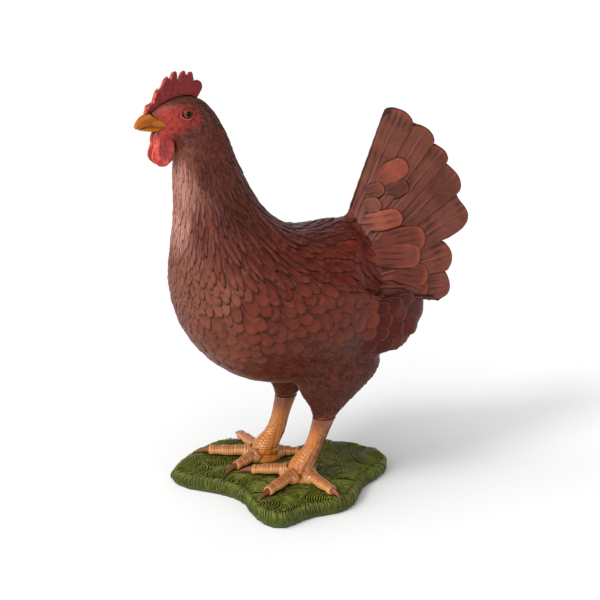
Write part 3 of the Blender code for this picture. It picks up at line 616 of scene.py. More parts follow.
class Clay:
    """Gathers points, faces and point values into one mesh object."""

    def __init__(self) -> None:
        """Start empty."""
        self.points: list[Array] = []
        self.faces: list[tuple[int, ...]] = []
        self.values: dict[str, list[Array]] = {}
        self.count = 0

    def add(self, points: Array, faces: Sequence[Sequence[int]],
            **values: Array | float | tuple[float, ...]) -> None:
        """Add one body.

        Args:
            points: Rows of x, y, z in millimetres.
            faces: Faces by point number.
            **values: Numbers or threes for each point, or one for all.
        """
        points = np.asarray(points, float).reshape(-1, 3)
        self.points.append(points)
        self.faces += [tuple(int(k) + self.count for k in face) for face in faces]
        for name, value in values.items():
            value = np.asarray(value, float)
            threes = value.shape[-1:] == (3,) and value.size != len(points)
            whole = np.broadcast_to(value, (len(points), 3) if threes else (len(points),))
            self.values.setdefault(name, []).append(whole)
        self.count += len(points)

    def add_feather(self, top: Array, under: Array, sign: float, tint: float, **values: Array) -> None:
        """Add a feather of two like grids of points.

        Args:
            top: Points of its upper side, for the left of the bird.
            under: Points of its lower side.
            sign: Its own side of the bird.
            tint: Its shade, from 0 to 1.
            **values: Numbers or threes for each point of one grid.
        """
        points, faces = slab(top, under)
        count = top.shape[0] * top.shape[1]
        doubled = {name: np.concatenate([rows.reshape(count, *rows.shape[2:])] * 2)
                   for name, rows in values.items()}
        self.add(points * (sign, 1, 1), faces, tint=tint, **doubled)

    def build(self, name: str, finish: bpy.types.Material | None = None) -> Item:
        """Make the object.

        Args:
            name: Its name.
            finish: Its material.

        Returns:
            The mesh object, in metres.
        """
        mesh = bpy.data.meshes.new(name)
        mesh.from_pydata((np.vstack(self.points) * MM).tolist(), [], self.faces)
        for label, rows in self.values.items():
            write_value(mesh, label, np.concatenate(rows))
        mesh.shade_smooth()
        item = bpy.data.objects.new(name, mesh)
        bpy.context.scene.collection.objects.link(item)
        if finish is not None:
            mesh.materials.append(finish)
        return item


def write_value(mesh: bpy.types.Mesh, name: str, rows: Array) -> None:
    """Store a number or a vector at each point of a mesh.

    Args:
        mesh: The mesh.
        name: Name of the value.
        rows: One number or three for each point.
    """
    threes = rows.ndim == 2
    kind = "FLOAT_COLOR" if name == "paint" else ("FLOAT_VECTOR" if threes else "FLOAT")
    made = mesh.attributes.new(name, kind, "POINT")
    if kind == "FLOAT_COLOR":
        rows = np.hstack([rows, np.ones((len(rows), 1))])
        made.data.foreach_set("color", rows.astype(np.float32).ravel())
    else:
        made.data.foreach_set("vector" if threes else "value", rows.astype(np.float32).ravel())


def read_points(mesh: bpy.types.Mesh, what: str = "co") -> Array:
    """Read places or normals of a mesh's points.

    Args:
        mesh: The mesh.
        what: co for places, normal for normals.

    Returns:
        Rows of three; places are in millimetres.
    """
    found = np.zeros(len(mesh.vertices) * 3, np.float32)
    if what == "co":
        mesh.vertices.foreach_get("co", found)
        return found.reshape(-1, 3).astype(float) / MM
    mesh.vertex_normals.foreach_get("vector", found)
    return found.reshape(-1, 3).astype(float)


def write_places(mesh: bpy.types.Mesh, places: Array) -> None:
    """Move a mesh's points to places in millimetres."""
    mesh.vertices.foreach_set("co", (places * MM).astype(np.float32).ravel())
    mesh.update()


def strokes(off: Array, along: Array, shift: float) -> Array:
    """Long uneven brush strokes that run along a feather.

    Args:
        off: Distance from its shaft.
        along: Distance from its root.
        shift: Tells one feather's strokes from another's.

    Returns:
        Strength of the paint, about -1 to 1.
    """
    places = np.c_[off.ravel(), 0.11 * along.ravel(), np.full(off.size, shift)]
    return (0.6 * uneven(places, 1.9) + 0.4 * uneven(places, 0.9)).reshape(off.shape)


def pairs_of(mesh: bpy.types.Mesh) -> Array:
    """List the point pairs that share an edge."""
    found = np.zeros(len(mesh.edges) * 2, np.int32)
    mesh.edges.foreach_get("vertices", found)
    return found.reshape(-1, 2)


SMOOTHING = (0.55, -0.57)
FILLING = (0.5,)


def pulled(places: Array, pairs: Array, pulls: Sequence[float], share: Array | float = 1.0) -> Array:
    """Pull points towards their neighbours, or away from them, time after time.

    Args:
        places: Rows of three.
        pairs: Edges by point number.
        pulls: Pull of each time: SMOOTHING keeps the volume and FILLING fills creases.
        share: How much each point follows.

    Returns:
        The new places.
    """
    count = np.maximum(np.bincount(pairs.ravel(), minlength=len(places)), 1)[:, None]
    share = np.broadcast_to(np.asarray(share, float), (len(places),))[:, None]
    for pull in pulls:
        total = np.zeros_like(places)
        np.add.at(total, pairs[:, 0], places[pairs[:, 1]])
        np.add.at(total, pairs[:, 1], places[pairs[:, 0]])
        places = places + (total / count - places) * pull * share
    return places


def tree_of(mesh: bpy.types.Mesh, places: Array) -> BVHTree:
    """Make a search tree of a mesh's faces, with its points at other places."""
    faces = [tuple(face.vertices) for face in mesh.polygons]
    return BVHTree.FromPolygons([Vector(place) for place in places], faces)


def outward(points: Array) -> Array:
    """Find the way that a grid of points faces, away from the bird's middle."""
    normal = unit(np.cross(np.gradient(points, axis=1), np.gradient(points, axis=0)))
    return normal * np.sign(normal[..., :1])


def joined(whole: bmesh.types.BMesh, part: bmesh.types.BMesh) -> None:
    """Move all of one edit mesh into another."""
    spare = bpy.data.meshes.new("spare")
    part.to_mesh(spare)
    part.free()
    whole.from_mesh(spare)
    bpy.data.meshes.remove(spare)


def past_saddle(places: Array) -> Array:
    """How far places lie behind the saddle's edge, on the tail."""
    return (places[:, 1] - SADDLE_END[0]) * SADDLE_SLOPE[0] + (places[:, 2] - SADDLE_END[1]) * SADDLE_SLOPE[1]


def egg(shape: bmesh.types.BMesh, middle: Sequence[float], size: Sequence[float]) -> None:
    """Add an egg shaped body to an edit mesh.

    Args:
        shape: Edit mesh, in metres.
        middle: Its middle, in millimetres.
        size: Its half sizes.
    """
    for point in bmesh.ops.create_icosphere(shape, subdivisions=3, radius=MM)["verts"]:
        point.co = Vector(a * b + c * MM for a, b, c in zip(point.co, size, middle))


def copied(names: Sequence[str], swell: float = 0.0) -> bmesh.types.BMesh:
    """Copy and merge CAD nodes into one edit mesh.

    Args:
        names: CAD node names.
        swell: How far each is swollen first, so that neighbours fuse.

    Returns:
        The edit mesh, in metres.
    """
    whole = bmesh.new()
    for name in names:
        part = bmesh.new()
        part.from_mesh(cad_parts[name].data)
        bmesh.ops.remove_doubles(part, verts=part.verts, dist=1e-5)
        bmesh.ops.recalc_face_normals(part, faces=part.faces)
        part.normal_update()
        for point in part.verts:
            point.co += point.normal * swell * MM
        joined(whole, part)
    return whole


def remeshed(whole: bmesh.types.BMesh, name: str, voxel: float) -> Item:
    """Fuse overlapping solids into one even skin.

    Args:
        whole: Edit mesh, which is freed.
        name: Name of the new object.
        voxel: Size of the new faces, in millimetres.

    Returns:
        The new object.
    """
    mesh = bpy.data.meshes.new(name)
    whole.to_mesh(mesh)
    whole.free()
    item = bpy.data.objects.new(name, mesh)
    bpy.context.scene.collection.objects.link(item)
    modifier = item.modifiers.new("fuse", "REMESH")
    modifier.mode = "VOXEL"
    modifier.voxel_size = voxel * MM
    return plain(item)


def plain(item: Item) -> Item:
    """Bake an object's modifiers into its mesh.

    Args:
        item: Object with modifiers.

    Returns:
        The same object with a plain mesh.
    """
    ready = item.evaluated_get(bpy.context.evaluated_depsgraph_get())
    mesh = bpy.data.meshes.new_from_object(ready)
    item.modifiers.clear()
    old = item.data
    item.data = mesh
    bpy.data.meshes.remove(old)
    mesh.name = item.name
    return item


def slab(top: Array, under: Array) -> tuple[Array, list[tuple[int, ...]]]:
    """Close two equal grids of points into one solid.

    Args:
        top: Grid of rows by columns by three.
        under: The same for the lower side.

    Returns:
        Points and faces.
    """
    rows, columns = top.shape[:2]
    count = rows * columns
    number = np.arange(count).reshape(rows, columns)
    faces = []
    for i in range(rows - 1):
        for j in range(columns - 1):
            ring = (number[i, j], number[i, j + 1], number[i + 1, j + 1], number[i + 1, j])
            faces.append(ring)
            faces.append(tuple(k + count for k in reversed(ring)))
    rim = [*number[0, :], *number[1:, -1], *number[-1, -2::-1], *number[-2:0:-1, 0]]
    for k, first in enumerate(rim):
        second = rim[(k + 1) % len(rim)]
        faces.append((second, first, first + count, second + count))
    return np.vstack([top.reshape(-1, 3), under.reshape(-1, 3)]), faces


def facing_out(item: Item) -> Item:
    """Turn all faces of an object's closed bodies outward."""
    shape = bmesh.new()
    shape.from_mesh(item.data)
    bmesh.ops.recalc_face_normals(shape, faces=shape.faces)
    shape.to_mesh(item.data)
    shape.free()
    return item


class LieField:
    """Reads how the coat lies anywhere, between the places in LIES."""

    SOFTEN = 5.0
    POWER = 4.0

    def __init__(self, lies: Sequence[Lie]) -> None:
        """Lay the table out as arrays.

        Args:
            lies: The places.
        """
        self.lies = lies
        self.places = np.array([lie.place for lie in lies], float)
        self.toward = unit(np.array([lie.toward for lie in lies], float))
        self.paints = np.array([lie.shade.value for lie in lies])
        self.sizes = np.array([(lie.width, lie.row, lie.point, lie.relief) for lie in lies])

    def shares(self, places: Array) -> Array:
        """Weigh each table row at each place.

        Args:
            places: Rows of x, y, z in millimetres.

        Returns:
            One row of weights for each place.
        """
        near = np.abs(places) * (1, 0, 0) + places * (0, 1, 1)
        gaps = np.linalg.norm(near[:, None, :] - self.places[None], axis=2)
        shares = 1.0 / (gaps + self.SOFTEN) ** self.POWER
        return shares / shares.sum(axis=1, keepdims=True)

    def read(self, places: Array) -> tuple[Array, Array, Array]:
        """Read the coat.

        Args:
            places: Rows of x, y, z.

        Returns:
            Directions, paints, and rows of width, row distance, point and relief.
        """
        shares = self.shares(places)
        ways = shares @ self.toward
        ways[:, 0] *= np.sign(places[:, 0])
        return unit(ways), shares @ self.paints, shares @ self.sizes

    def tract(self, places: Array) -> Array:
        """Number of the nearest table row for each place."""
        return self.shares(places).argmax(axis=1)


@dataclass(frozen=True)
class Face:
    """The bare face, seen from the side, with its lids and folds.

    Attributes:
        middle: Middle of the bare patch, as y and z.
        reach: Its half sizes.
        square: Power of its outline.
        eye: Middle of the eye opening.
        opening: Half sizes of the eye opening.
        tilt: How far the opening's front corner hangs, in degrees.
        throat: Middle of the bare throat.
        throat_reach: Its half sizes.
        bare: Paint of the bare skin.
        flush: Paint of its front.
        crown: Paint of the top of the head and of the bare patch's hem.
        rear_face_shadow: Painted shadow behind the cheek, where the bare face stands out over the neck's
            feathers.
        fuzz: Paint of the small bristles at the bill.
        lid: Paint of the eyelids.
    """

    middle: Pair = (-105.0, 389.8)
    reach: Pair = (26.0, 15.2)
    square: float = 2.4
    eye: Pair = (-100.6, 395.2)
    opening: Pair = (5.3, 3.8)
    tilt: float = 14.0
    throat: Pair = (-116.5, 373.0)
    throat_reach: Pair = (12.0, 12.5)
    bare: Triple = (0.200, 0.0150, 0.0125)
    flush: Triple = (0.330, 0.030, 0.022)
    crown: Triple = (0.070, 0.025, 0.015)
    rear_face_shadow: Triple = (0.048, 0.013, 0.010)
    fuzz: Triple = (0.380, 0.170, 0.070)
    lid: Triple = (0.550, 0.170, 0.130)

    def rim(self, places: Array) -> Array:
        """How far out in the bare patch a place is: below 1 is bare."""
        y, z = np.abs((places[:, 1:] - self.middle) / self.reach).T
        return (y**self.square + z**self.square) ** (1 / self.square)

    def eye_ring(self, places: Array) -> Array:
        """Almond distance from the eye: 1 is the lids' edge."""
        turn = math.radians(self.tilt)
        y, z = (places[:, 1:] - self.eye).T
        along = y * math.cos(turn) + z * math.sin(turn)
        up = z * math.cos(turn) - y * math.sin(turn)
        pinch = 1 + 0.34 * np.abs(along / self.opening[0]) ** 1.5
        return np.hypot(along / self.opening[0], up * pinch / self.opening[1])

    def lift(self, places: Array) -> Array:
        """Height of lids, folds and pads over the plain skull.

        Args:
            places: Rows of x, y, z.

        Returns:
            Height at each place.
        """
        x, y, z = places.T
        ring, rim = self.eye_ring(places), self.rim(places)
        lids = 0.85 * hump(ring, 1.22, 0.17) - 3.2 * (1 - step(0.86, 1.08, ring))
        fold = 0.42 * hump(ring, 1.78, 0.13) - 0.4 * hump(ring, 1.52, 0.1) + 0.25 * hump(ring, 2.25, 0.14)
        behind = step(-6.0, 4.0, y - self.eye[0] + 0.7 * (z - self.eye[1]))
        pad = 0.5 * (1 - step(0.75, 1.0, rim)) - 0.5 * hump(rim, 1.04, 0.07) * step(-96.0, -88.0, y)
        cheek = 0.8 * np.exp(-(((y + 91) / 8) ** 2 + ((z - 383) / 8) ** 2))
        wrinkle = 0.10 * np.sin(1.9 * z + 0.9 * y + 1.6 * np.sin(0.45 * y))
        wrinkle *= step(1.5, 2.2, ring) * (1 - step(0.7, 1.0, rim))
        return step(7.0, 12.0, np.abs(x)) * (lids + fold * (0.35 + 0.65 * behind) + pad + cheek + wrinkle)

    def paint(self, places: Array, plumage: Array) -> tuple[Array, Array]:
        """Lay the face paint over the plumage paint.

        Args:
            places: Rows of x, y, z.
            plumage: Paint that is there without the face.

        Returns:
            The paint, and how bare each place is.
        """
        _, y, z = places.T
        rim = self.rim(places) + 0.08 * uneven(places, 1.7)
        throat = np.hypot(*((places[:, 1:] - self.throat) / self.throat_reach).T) + 0.08 * uneven(places, 1.5)
        bare = np.maximum(1 - step(0.84, 1.06, rim), 1 - step(0.8, 1.15, throat))
        red = over(np.array(self.bare), self.flush, 1 - step(-122.0, -102.0, y))
        red = red * (1 + 0.24 * uneven(places, 2.6) + 0.14 * uneven(places, 0.9))[:, None]
        ring = self.eye_ring(places)
        under = 0.2 + 0.5 * step(1.0, -2.0, z - self.eye[1])
        red = over(red, self.lid, under * hump(ring, 1.18, 0.15))
        red = over(red, red * 0.3, 0.8 * hump(ring, 1.52, 0.12))
        red = over(red, red * 0.15, 1 - step(0.94, 1.06, ring))
        rear = step(-108.0, -92.0, y - 0.6 * (z - 389.5))
        # Painted shade: the lower rear part of the bare face is darkened.
        low = (1 - step(376.0, 389.0, z - 0.2 * (y + 100))) * step(-118.0, -104.0, y)
        red = over(red, red * 0.55, low)
        red = over(red, 1.2 * np.array(self.crown), 0.65 * step(0.55, 1.0, rim) * step(0.9, 1.5, throat))
        # Painted shadow: the rear edge of the bare face is painted dark brown where it stands out over the
        # neck.
        red = over(red, self.rear_face_shadow, 0.95 * step(0.35, 0.85, rim) * rear)
        top = step(396.0, 402.0, z + 0.12 * (y + 100)) * (1 - step(-86.0, -80.0, y))
        plumage = over(plumage, self.crown, top)
        # Painted shadow on the feathers just behind the face.
        plumage = over(plumage, self.rear_face_shadow, 0.85 * rear * (1 - step(1.0, 1.5, rim)))
        stipple = step(-110.0, -122.0, y) * step(0.15, 0.6, uneven(places, 0.8))
        plumage = over(plumage, self.fuzz, 0.75 * stipple)
        return over(plumage, red, bare), bare


@dataclass
class Skin:
    """One skin for all the flesh, which lies inside it by the coat's depth.

    Attributes:
        face: The bare face.
        lies: How the coat lies, with its paints.
        depth: How deep it lies under the CAD surface.
        swell: How far the nodes are swollen before they fuse.
        voxel: Size of its faces.
        head_cuts: How often faces of the head are cut.
        flesh: CAD nodes that it stands for.
        core: CAD nodes whose roots it also fills.
        core_end: Where the core is cut off: the fan's root as y and z, and the distance from it.
        core_rise: Which way the core points, in degrees above the line to the rear.
        plugs: Middle, on the left side, and half sizes of the bodies that close eye sockets and cheeks.
        item: The skin object.
        tree: Its faces, to find the place nearest to a point.
    """

    face: Face
    lies: LieField
    depth: float = 1.7
    swell: float = 0.45
    voxel: float = 2.15
    head_cuts: int = 3
    flesh: tuple[str, ...] = ("head", "neck", "trunk", "wing_left", "wing_right", "thigh_left", "thigh_right")
    core: tuple[str, ...] = ("tail_left", "tail_right")
    core_end: Triple = (53.0, 235.0, 42.0)
    core_rise: float = 22.5
    plugs: tuple[tuple[Triple, Triple], ...] = (
        ((15.0, -100.3, 395.3), (4.4, 7.4, 7.4)), ((6.0, -118.0, 376.0), (5.6, 8.5, 8.5)))
    item: Item = field(init=False)
    tree: BVHTree = field(init=False)

    def build(self) -> Item:
        """Make the skin.

        Returns:
            The skin object.
        """
        whole = copied(self.flesh, self.swell)
        self.add_core(whole)
        for _, sign in SIDES:
            for (x, y, z), size in self.plugs:
                egg(whole, (sign * x, y, z), size)
        self.item = remeshed(whole, "hen_skin", self.voxel)
        mesh = self.item.data
        places = pulled(read_points(mesh), pairs_of(mesh), SMOOTHING * 5)
        write_places(mesh, places)
        places = places - read_points(mesh, "normal") * self.inset(mesh, places)[:, None]
        write_places(mesh, pulled(places, pairs_of(mesh), FILLING * 60, self.creases(places)))
        self.refine_head()
        places = read_points(mesh)
        self.tree = tree_of(mesh, places)
        _, paints, _ = self.lies.read(places)
        paints, bare = self.face.paint(places, paints)
        barb, across = places[:, 1:] @ (0.3, -0.5), places[:, 1:] @ (3.2, 2.0) + 2.0 * uneven(places, 4.0)
        even = np.full(len(places), 0.5)
        for name, rows in {"paint": paints, "bare": bare, "barb": barb, "lift_way": read_points(mesh, "normal"),
                           "across": across, "tint": even, "crest": even}.items():
            write_value(mesh, name, rows)
        mesh.shade_smooth()
        mesh.materials.clear()
        for finish in (FEATHERS, FACE_FLESH):
            mesh.materials.append(finish.material())
        for polygon in mesh.polygons:
            polygon.material_index = int(min(bare[k] for k in polygon.vertices) > 0.5)
        return self.item

    def add_core(self, whole: bmesh.types.BMesh) -> None:
        """Add the root of the tail, cut off square to the middle of the fan.

        Args:
            whole: Edit mesh that it joins.
        """
        core = copied(self.core, self.swell)
        y, z, reach = self.core_end
        rise = math.radians(self.core_rise)
        way = Vector((0.0, math.cos(rise), math.sin(rise)))
        spot = (Vector((0.0, y, z)) + way * reach) * MM
        parts = [*core.verts, *core.edges, *core.faces]
        bmesh.ops.bisect_plane(core, geom=parts, plane_co=spot, plane_no=way, clear_outer=True)
        bmesh.ops.holes_fill(core, edges=[e for e in core.edges if e.is_boundary], sides=0)
        joined(whole, core)

    def creases(self, places: Array) -> Array:
        """Find the creases that are to be filled: behind the saddle and under the wings' edge.

        Args:
            places: Points of the skin.

        Returns:
            How much each point is to follow its neighbours.
        """
        x, y, z = places.T
        crease = hump(past_saddle(places), 0.0, 11.0) * step(200.0, 210.0, z)
        hem = hump(z, 148.0, 13.0) * step(16.0, 30.0, np.abs(x))
        return np.maximum(crease, hem * step(-75.0, -50.0, y) * (1 - step(72.0, 90.0, y)))

    def inset(self, mesh: bpy.types.Mesh, places: Array) -> Array:
        """Depth under the surface, less where the body is thin or bare.

        Args:
            mesh: The fused mesh.
            places: Its points.

        Returns:
            Depth at each point.
        """
        normals = read_points(mesh, "normal")
        tree = tree_of(mesh, places)
        thick = np.full(len(places), 99.0)
        for k in np.nonzero(places[:, 1] > 50.0)[0]:
            normal = Vector(normals[k])
            far = tree.ray_cast(Vector(places[k]) - normal * 0.3, -normal)[3]
            if far is not None:
                thick[k] = far
        bare = 1 - step(0.9, 1.25, self.face.rim(places))
        head = step(372.0, 390.0, places[:, 2] - 0.3 * (places[:, 1] + 100))
        depth = toward(toward(self.depth, 1.0, head), 0.6, bare) + self.swell
        return np.minimum(depth, 0.3 * thick)

    def refine_head(self) -> None:
        """Cut the head's faces finer and raise lids, folds and pads on it."""
        mesh = self.item.data
        shape = bmesh.new()
        shape.from_mesh(mesh)
        middles = ((f, f.calc_center_median() / MM) for f in shape.faces)
        faces = [f for f, middle in middles if middle.z > 371.0 and middle.y < -76.0]
        edges = list({e for f in faces for e in f.edges})
        bmesh.ops.subdivide_edges(shape, edges=edges, cuts=self.head_cuts, use_grid_fill=True)
        shape.to_mesh(mesh)
        shape.free()
        places, pairs = read_points(mesh), pairs_of(mesh)
        near = step(369.0, 373.0, places[:, 2]) * (1 - step(-78.0, -74.0, places[:, 1]))
        places = pulled(places, pairs, SMOOTHING * 10, near)
        write_places(mesh, places)
        places = places + read_points(mesh, "normal") * (self.face.lift(places) * near)[:, None]
        write_places(mesh, pulled(places, pairs, SMOOTHING, near))


@dataclass
class Vane:
    """Plain feather vane that every instance is bent from.

    Attributes:
        columns: Places across it, from -1 to 1.
        rows: Places along it, from 0 to 1.
    """

    columns: tuple[float, ...] = (-1.0, -0.93, -0.72, -0.38, 0.0, 0.38, 0.72, 0.93, 1.0)
    rows: tuple[float, ...] = (0.0, 0.3, 0.5, 0.66, 0.8, 0.93, 1.0)

    def build(self, name: str) -> Item:
        """Make the vane with its places as point values.

        Args:
            name: Name of the object.

        Returns:
            A helper object that isn't shown.
        """
        wide, long = len(self.columns), len(self.rows)
        number = np.arange(wide * long).reshape(long, wide)
        across = np.tile(self.columns, long)
        along = np.repeat(self.rows, wide)
        faces = [(number[i, j], number[i, j + 1], number[i + 1, j + 1], number[i + 1, j])
                 for i in range(long - 1) for j in range(wide - 1)]
        rim = [*number[:, 0], *number[-1, 1:-1], *number[::-1, -1]]
        low = {top: wide * long + k for k, top in enumerate(rim)}
        faces += [(a, b, low[b], low[a]) for a, b in zip(rim, rim[1:])]
        for i in range(long - 2):
            sides = (low[number[i, 0]], low[number[i + 1, 0]], low[number[i + 1, -1]], low[number[i, -1]])
            faces.append(sides)
        faces.append(tuple(low[k] for k in [*number[-2:, 0], *number[-1, 1:-1], *number[:-3:-1, -1]]))
        root_row = list(number[0, :])
        faces.append((low[root_row[0]], *root_row, low[root_row[-1]])[::-1])
        clay = Clay()
        deck = np.r_[np.ones(wide * long), np.zeros(len(rim))]
        across, along = np.r_[across, across[rim]], np.r_[along, along[rim]]
        faces = [tuple(map(int, face)) for face in faces]
        clay.add(np.c_[across, along, deck], faces, across=across, along=along, deck=deck)
        item = clay.build(name)
        facing_out(item)
        write_places(item.data, np.zeros((len(across), 3)))
        item.hide_render = True
        return item


class CoatTree(Group):
    """Geometry Nodes that lay one vane down at every root and bend it to the skin."""

    def __init__(self) -> None:
        """Build the tree once."""
        super().__init__("lay_vanes", Roots="Geometry", Vane="Object", Skin="Object", Finish="Material",
                         Sink="Float", Under="Float")
        vane, skin = (self.flow("GeometryNodeObjectInfo", {"Object": self.inputs[name]}, "Geometry")
                      for name in ("Vane", "Skin"))
        laid = {"Points": self.inputs["Roots"], "Instance": vane}
        whole = self.flow("GeometryNodeInstanceOnPoints", laid)
        whole = self.flow("GeometryNodeRealizeInstances", {"Geometry": whole})
        whole = self.flow("GeometryNodeSetPosition", {"Geometry": whole, "Position": self.flat()})
        near = self.flow("GeometryNodeProximity", {0: skin}, "Position", target_element="FACES")
        reading = {"Mesh": skin, "Value": self.carried("lift_way", "FLOAT_VECTOR")}
        way = self.flow("GeometryNodeSampleNearestSurface", reading, "Value", data_type="FLOAT_VECTOR")
        way = self.flow("ShaderNodeVectorMath", {0: way}, operation="NORMALIZE")
        height, crest = self.rise()
        place = self.sum(near, self.scaled(way, height))
        whole = self.flow("GeometryNodeSetPosition", {"Geometry": whole, "Position": place})
        across, along = abs(self.carried("across")), self.carried("along")
        barb = (along * self.carried("length") - across * self.carried("width") * 0.6) * (1.0 / MM)
        # Painted shade, partly a real wash: the vane's margin, its step wall, its lance edges and its root are
        # painted dark where neighbouring vanes overlap and shade it.
        edge = self.ease(0.55, 1.0, across) * self.carried("point") * 0.9
        high = self.ease(0.0002, 0.0026, self.carried("relief"))
        rim = self.ease(0.86, 1.0, self.larger(across, along)) * high
        root = self.ease(0.6, 0.2, along) * 0.4
        wash = self.larger(self.larger(rim, 1.0 - self.carried("deck")), self.larger(edge, root))
        for name, value in (("barb", barb), ("wash", wash), ("crest", crest)):
            whole = self.store(whole, name, value)
        self.close(whole)

    def sum(self, first: Value, second: Value) -> Flow:
        """Add two vectors."""
        return self.flow("ShaderNodeVectorMath", {0: first, 1: second}, operation="ADD")

    def flat(self) -> Flow:
        """Place a vane's point before it is bent to the skin.

        Returns:
            The place.
        """
        across, along, point = self.carried("across"), self.carried("along"), self.carried("point")
        width, length = self.carried("width"), self.carried("length")
        swell = self.math("SINE", self.math("MINIMUM", along / 0.55, 1.0) * (math.pi / 2)) * 0.4 + 0.6
        taper = (point * 0.34 + 0.14) * (along * along)
        power = point * -1.05 + 2.35
        round_end = self.larger(1.0 - abs(across) ** power, 0.0) ** (1.0 / power)
        drop = (1.0 - round_end) * (width * (point * 0.75 + 0.42)) * (along * along)
        bend = self.carried("bend") * (along * along) * length
        aside = across * (swell * (1.0 - taper) * width * 0.5) + bend
        place = self.scaled(self.carried("side", "FLOAT_VECTOR"), aside)
        ahead = self.scaled(self.carried("lie", "FLOAT_VECTOR"), length * along - drop)
        return self.sum(self.sum(place, ahead), self.carried("root", "FLOAT_VECTOR"))

    def rise(self) -> tuple[Flow, Flow]:
        """Find how high a vane's point stands over the skin.

        Returns:
            The height, and how near the point is to the vane's crest.
        """
        across, along, deck = self.carried("across"), self.carried("along"), self.carried("deck")
        crown = abs(across) ** 2.6 * -0.5 + 1.0
        tip = along**12.0 * -0.45 + 1.0
        height = crown * tip * along**0.85 * self.carried("relief") - self.inputs["Sink"]
        height = (height + self.inputs["Under"]) * deck - self.inputs["Under"]
        return height, along**3.0 * deck


@dataclass
class Roots:
    """Grows the roots of the coat in staggered rows over the skin.

    Attributes:
        skin: Skin that they stand on.
        lies: How the coat lies.
        allowed: Tells whether a root may stand at a place.
        crowd: Nearest two roots may stand, in widths and rows.
        landing: How far ahead a vane has to find skin, in row distances.
        cell: Size of a cell of the grid.
        rows: The roots so far.
        grid: Numbers of the roots in each cell.
    """

    skin: Skin
    lies: LieField
    allowed: Callable[[Vector, Vector], bool]
    crowd: float = 0.66
    landing: float = 2.2
    cell: float = 9.0
    rows: list[tuple[float, ...]] = field(default_factory=list)
    grid: dict[tuple[int, int, int], list[int]] = field(default_factory=dict)

    def stand(self, place: Vector) -> tuple[Array, Array, Array, Array] | None:
        """Bring a place onto the skin and read the coat there.

        Args:
            place: Near the skin, in millimetres.

        Returns:
            Place, lie, side and sizes, or None where no root may stand.
        """
        spot, normal, _, _ = self.skin.tree.find_nearest(place)
        if not self.allowed(spot, normal):
            return None
        ways, _, sizes = self.lies.read(np.array([spot]))
        normal = np.array(normal)
        lie = ways[0] - normal * (ways[0] @ normal)
        if np.linalg.norm(lie) < 0.15:
            return None
        lie = unit(lie)
        landing = np.array(spot) + lie * self.landing * sizes[0][1]
        if self.skin.tree.find_nearest(Vector(landing))[3] > 4.5:
            return None
        return np.array(spot), lie, np.cross(lie, normal), sizes[0]

    def free(self, spot: Array, lie: Array, side: Array, sizes: Array) -> bool:
        """Tell whether no other root stands too near.

        Args:
            spot: Place on the skin.
            lie: Way the vane lies.
            side: Way across it.
            sizes: Width, row distance, point and relief there.

        Returns:
            True where a root may stand.
        """
        base = np.floor(spot / self.cell).astype(int)
        reach = int(math.ceil(max(sizes[0], 2 * sizes[1]) * self.crowd / self.cell))
        x, y, z = (range(middle - reach, middle + reach + 1) for middle in base)
        near = [k for cell in itertools.product(x, y, z) for k in self.grid.get(cell, ())]
        if not near:
            return True
        others = np.array([self.rows[k][:3] for k in near])
        gap = others - spot
        across, along = gap @ side / sizes[0], gap @ lie / (1.75 * sizes[1])
        out = np.linalg.norm(gap - np.outer(gap @ side, side) - np.outer(gap @ lie, lie), axis=1)
        return not (across**2 + along**2 + (out / 12.0) ** 2 < self.crowd**2).any()

    def plant(self, spot: Array, lie: Array, side: Array, sizes: Array) -> None:
        """Keep a root."""
        key = tuple(np.floor(spot / self.cell).astype(int))
        self.grid.setdefault(key, []).append(len(self.rows))
        self.rows.append((*spot, *lie, *side, *sizes))

    def grow(self, starts: Sequence[Triple]) -> Array:
        """Grow outward from the first roots, row by row.

        Args:
            starts: Places of the first roots.

        Returns:
            One row for each root: place, lie, side, width, row distance, point and relief.
        """
        waiting = [Vector(place) for place in starts]
        turn = 0
        while turn < len(waiting):
            found = self.stand(waiting[turn])
            turn += 1
            if found is None or not self.free(*found):
                continue
            self.plant(*found)
            spot, lie, side, sizes = found
            wide, row = sizes[0], sizes[1]
            for aside, ahead in ((0.5, 1), (-0.5, 1), (1, 0), (-1, 0), (0.5, -1), (-0.5, -1)):
                waiting.append(Vector(spot + side * aside * wide + lie * ahead * row))
        return np.array(self.rows)


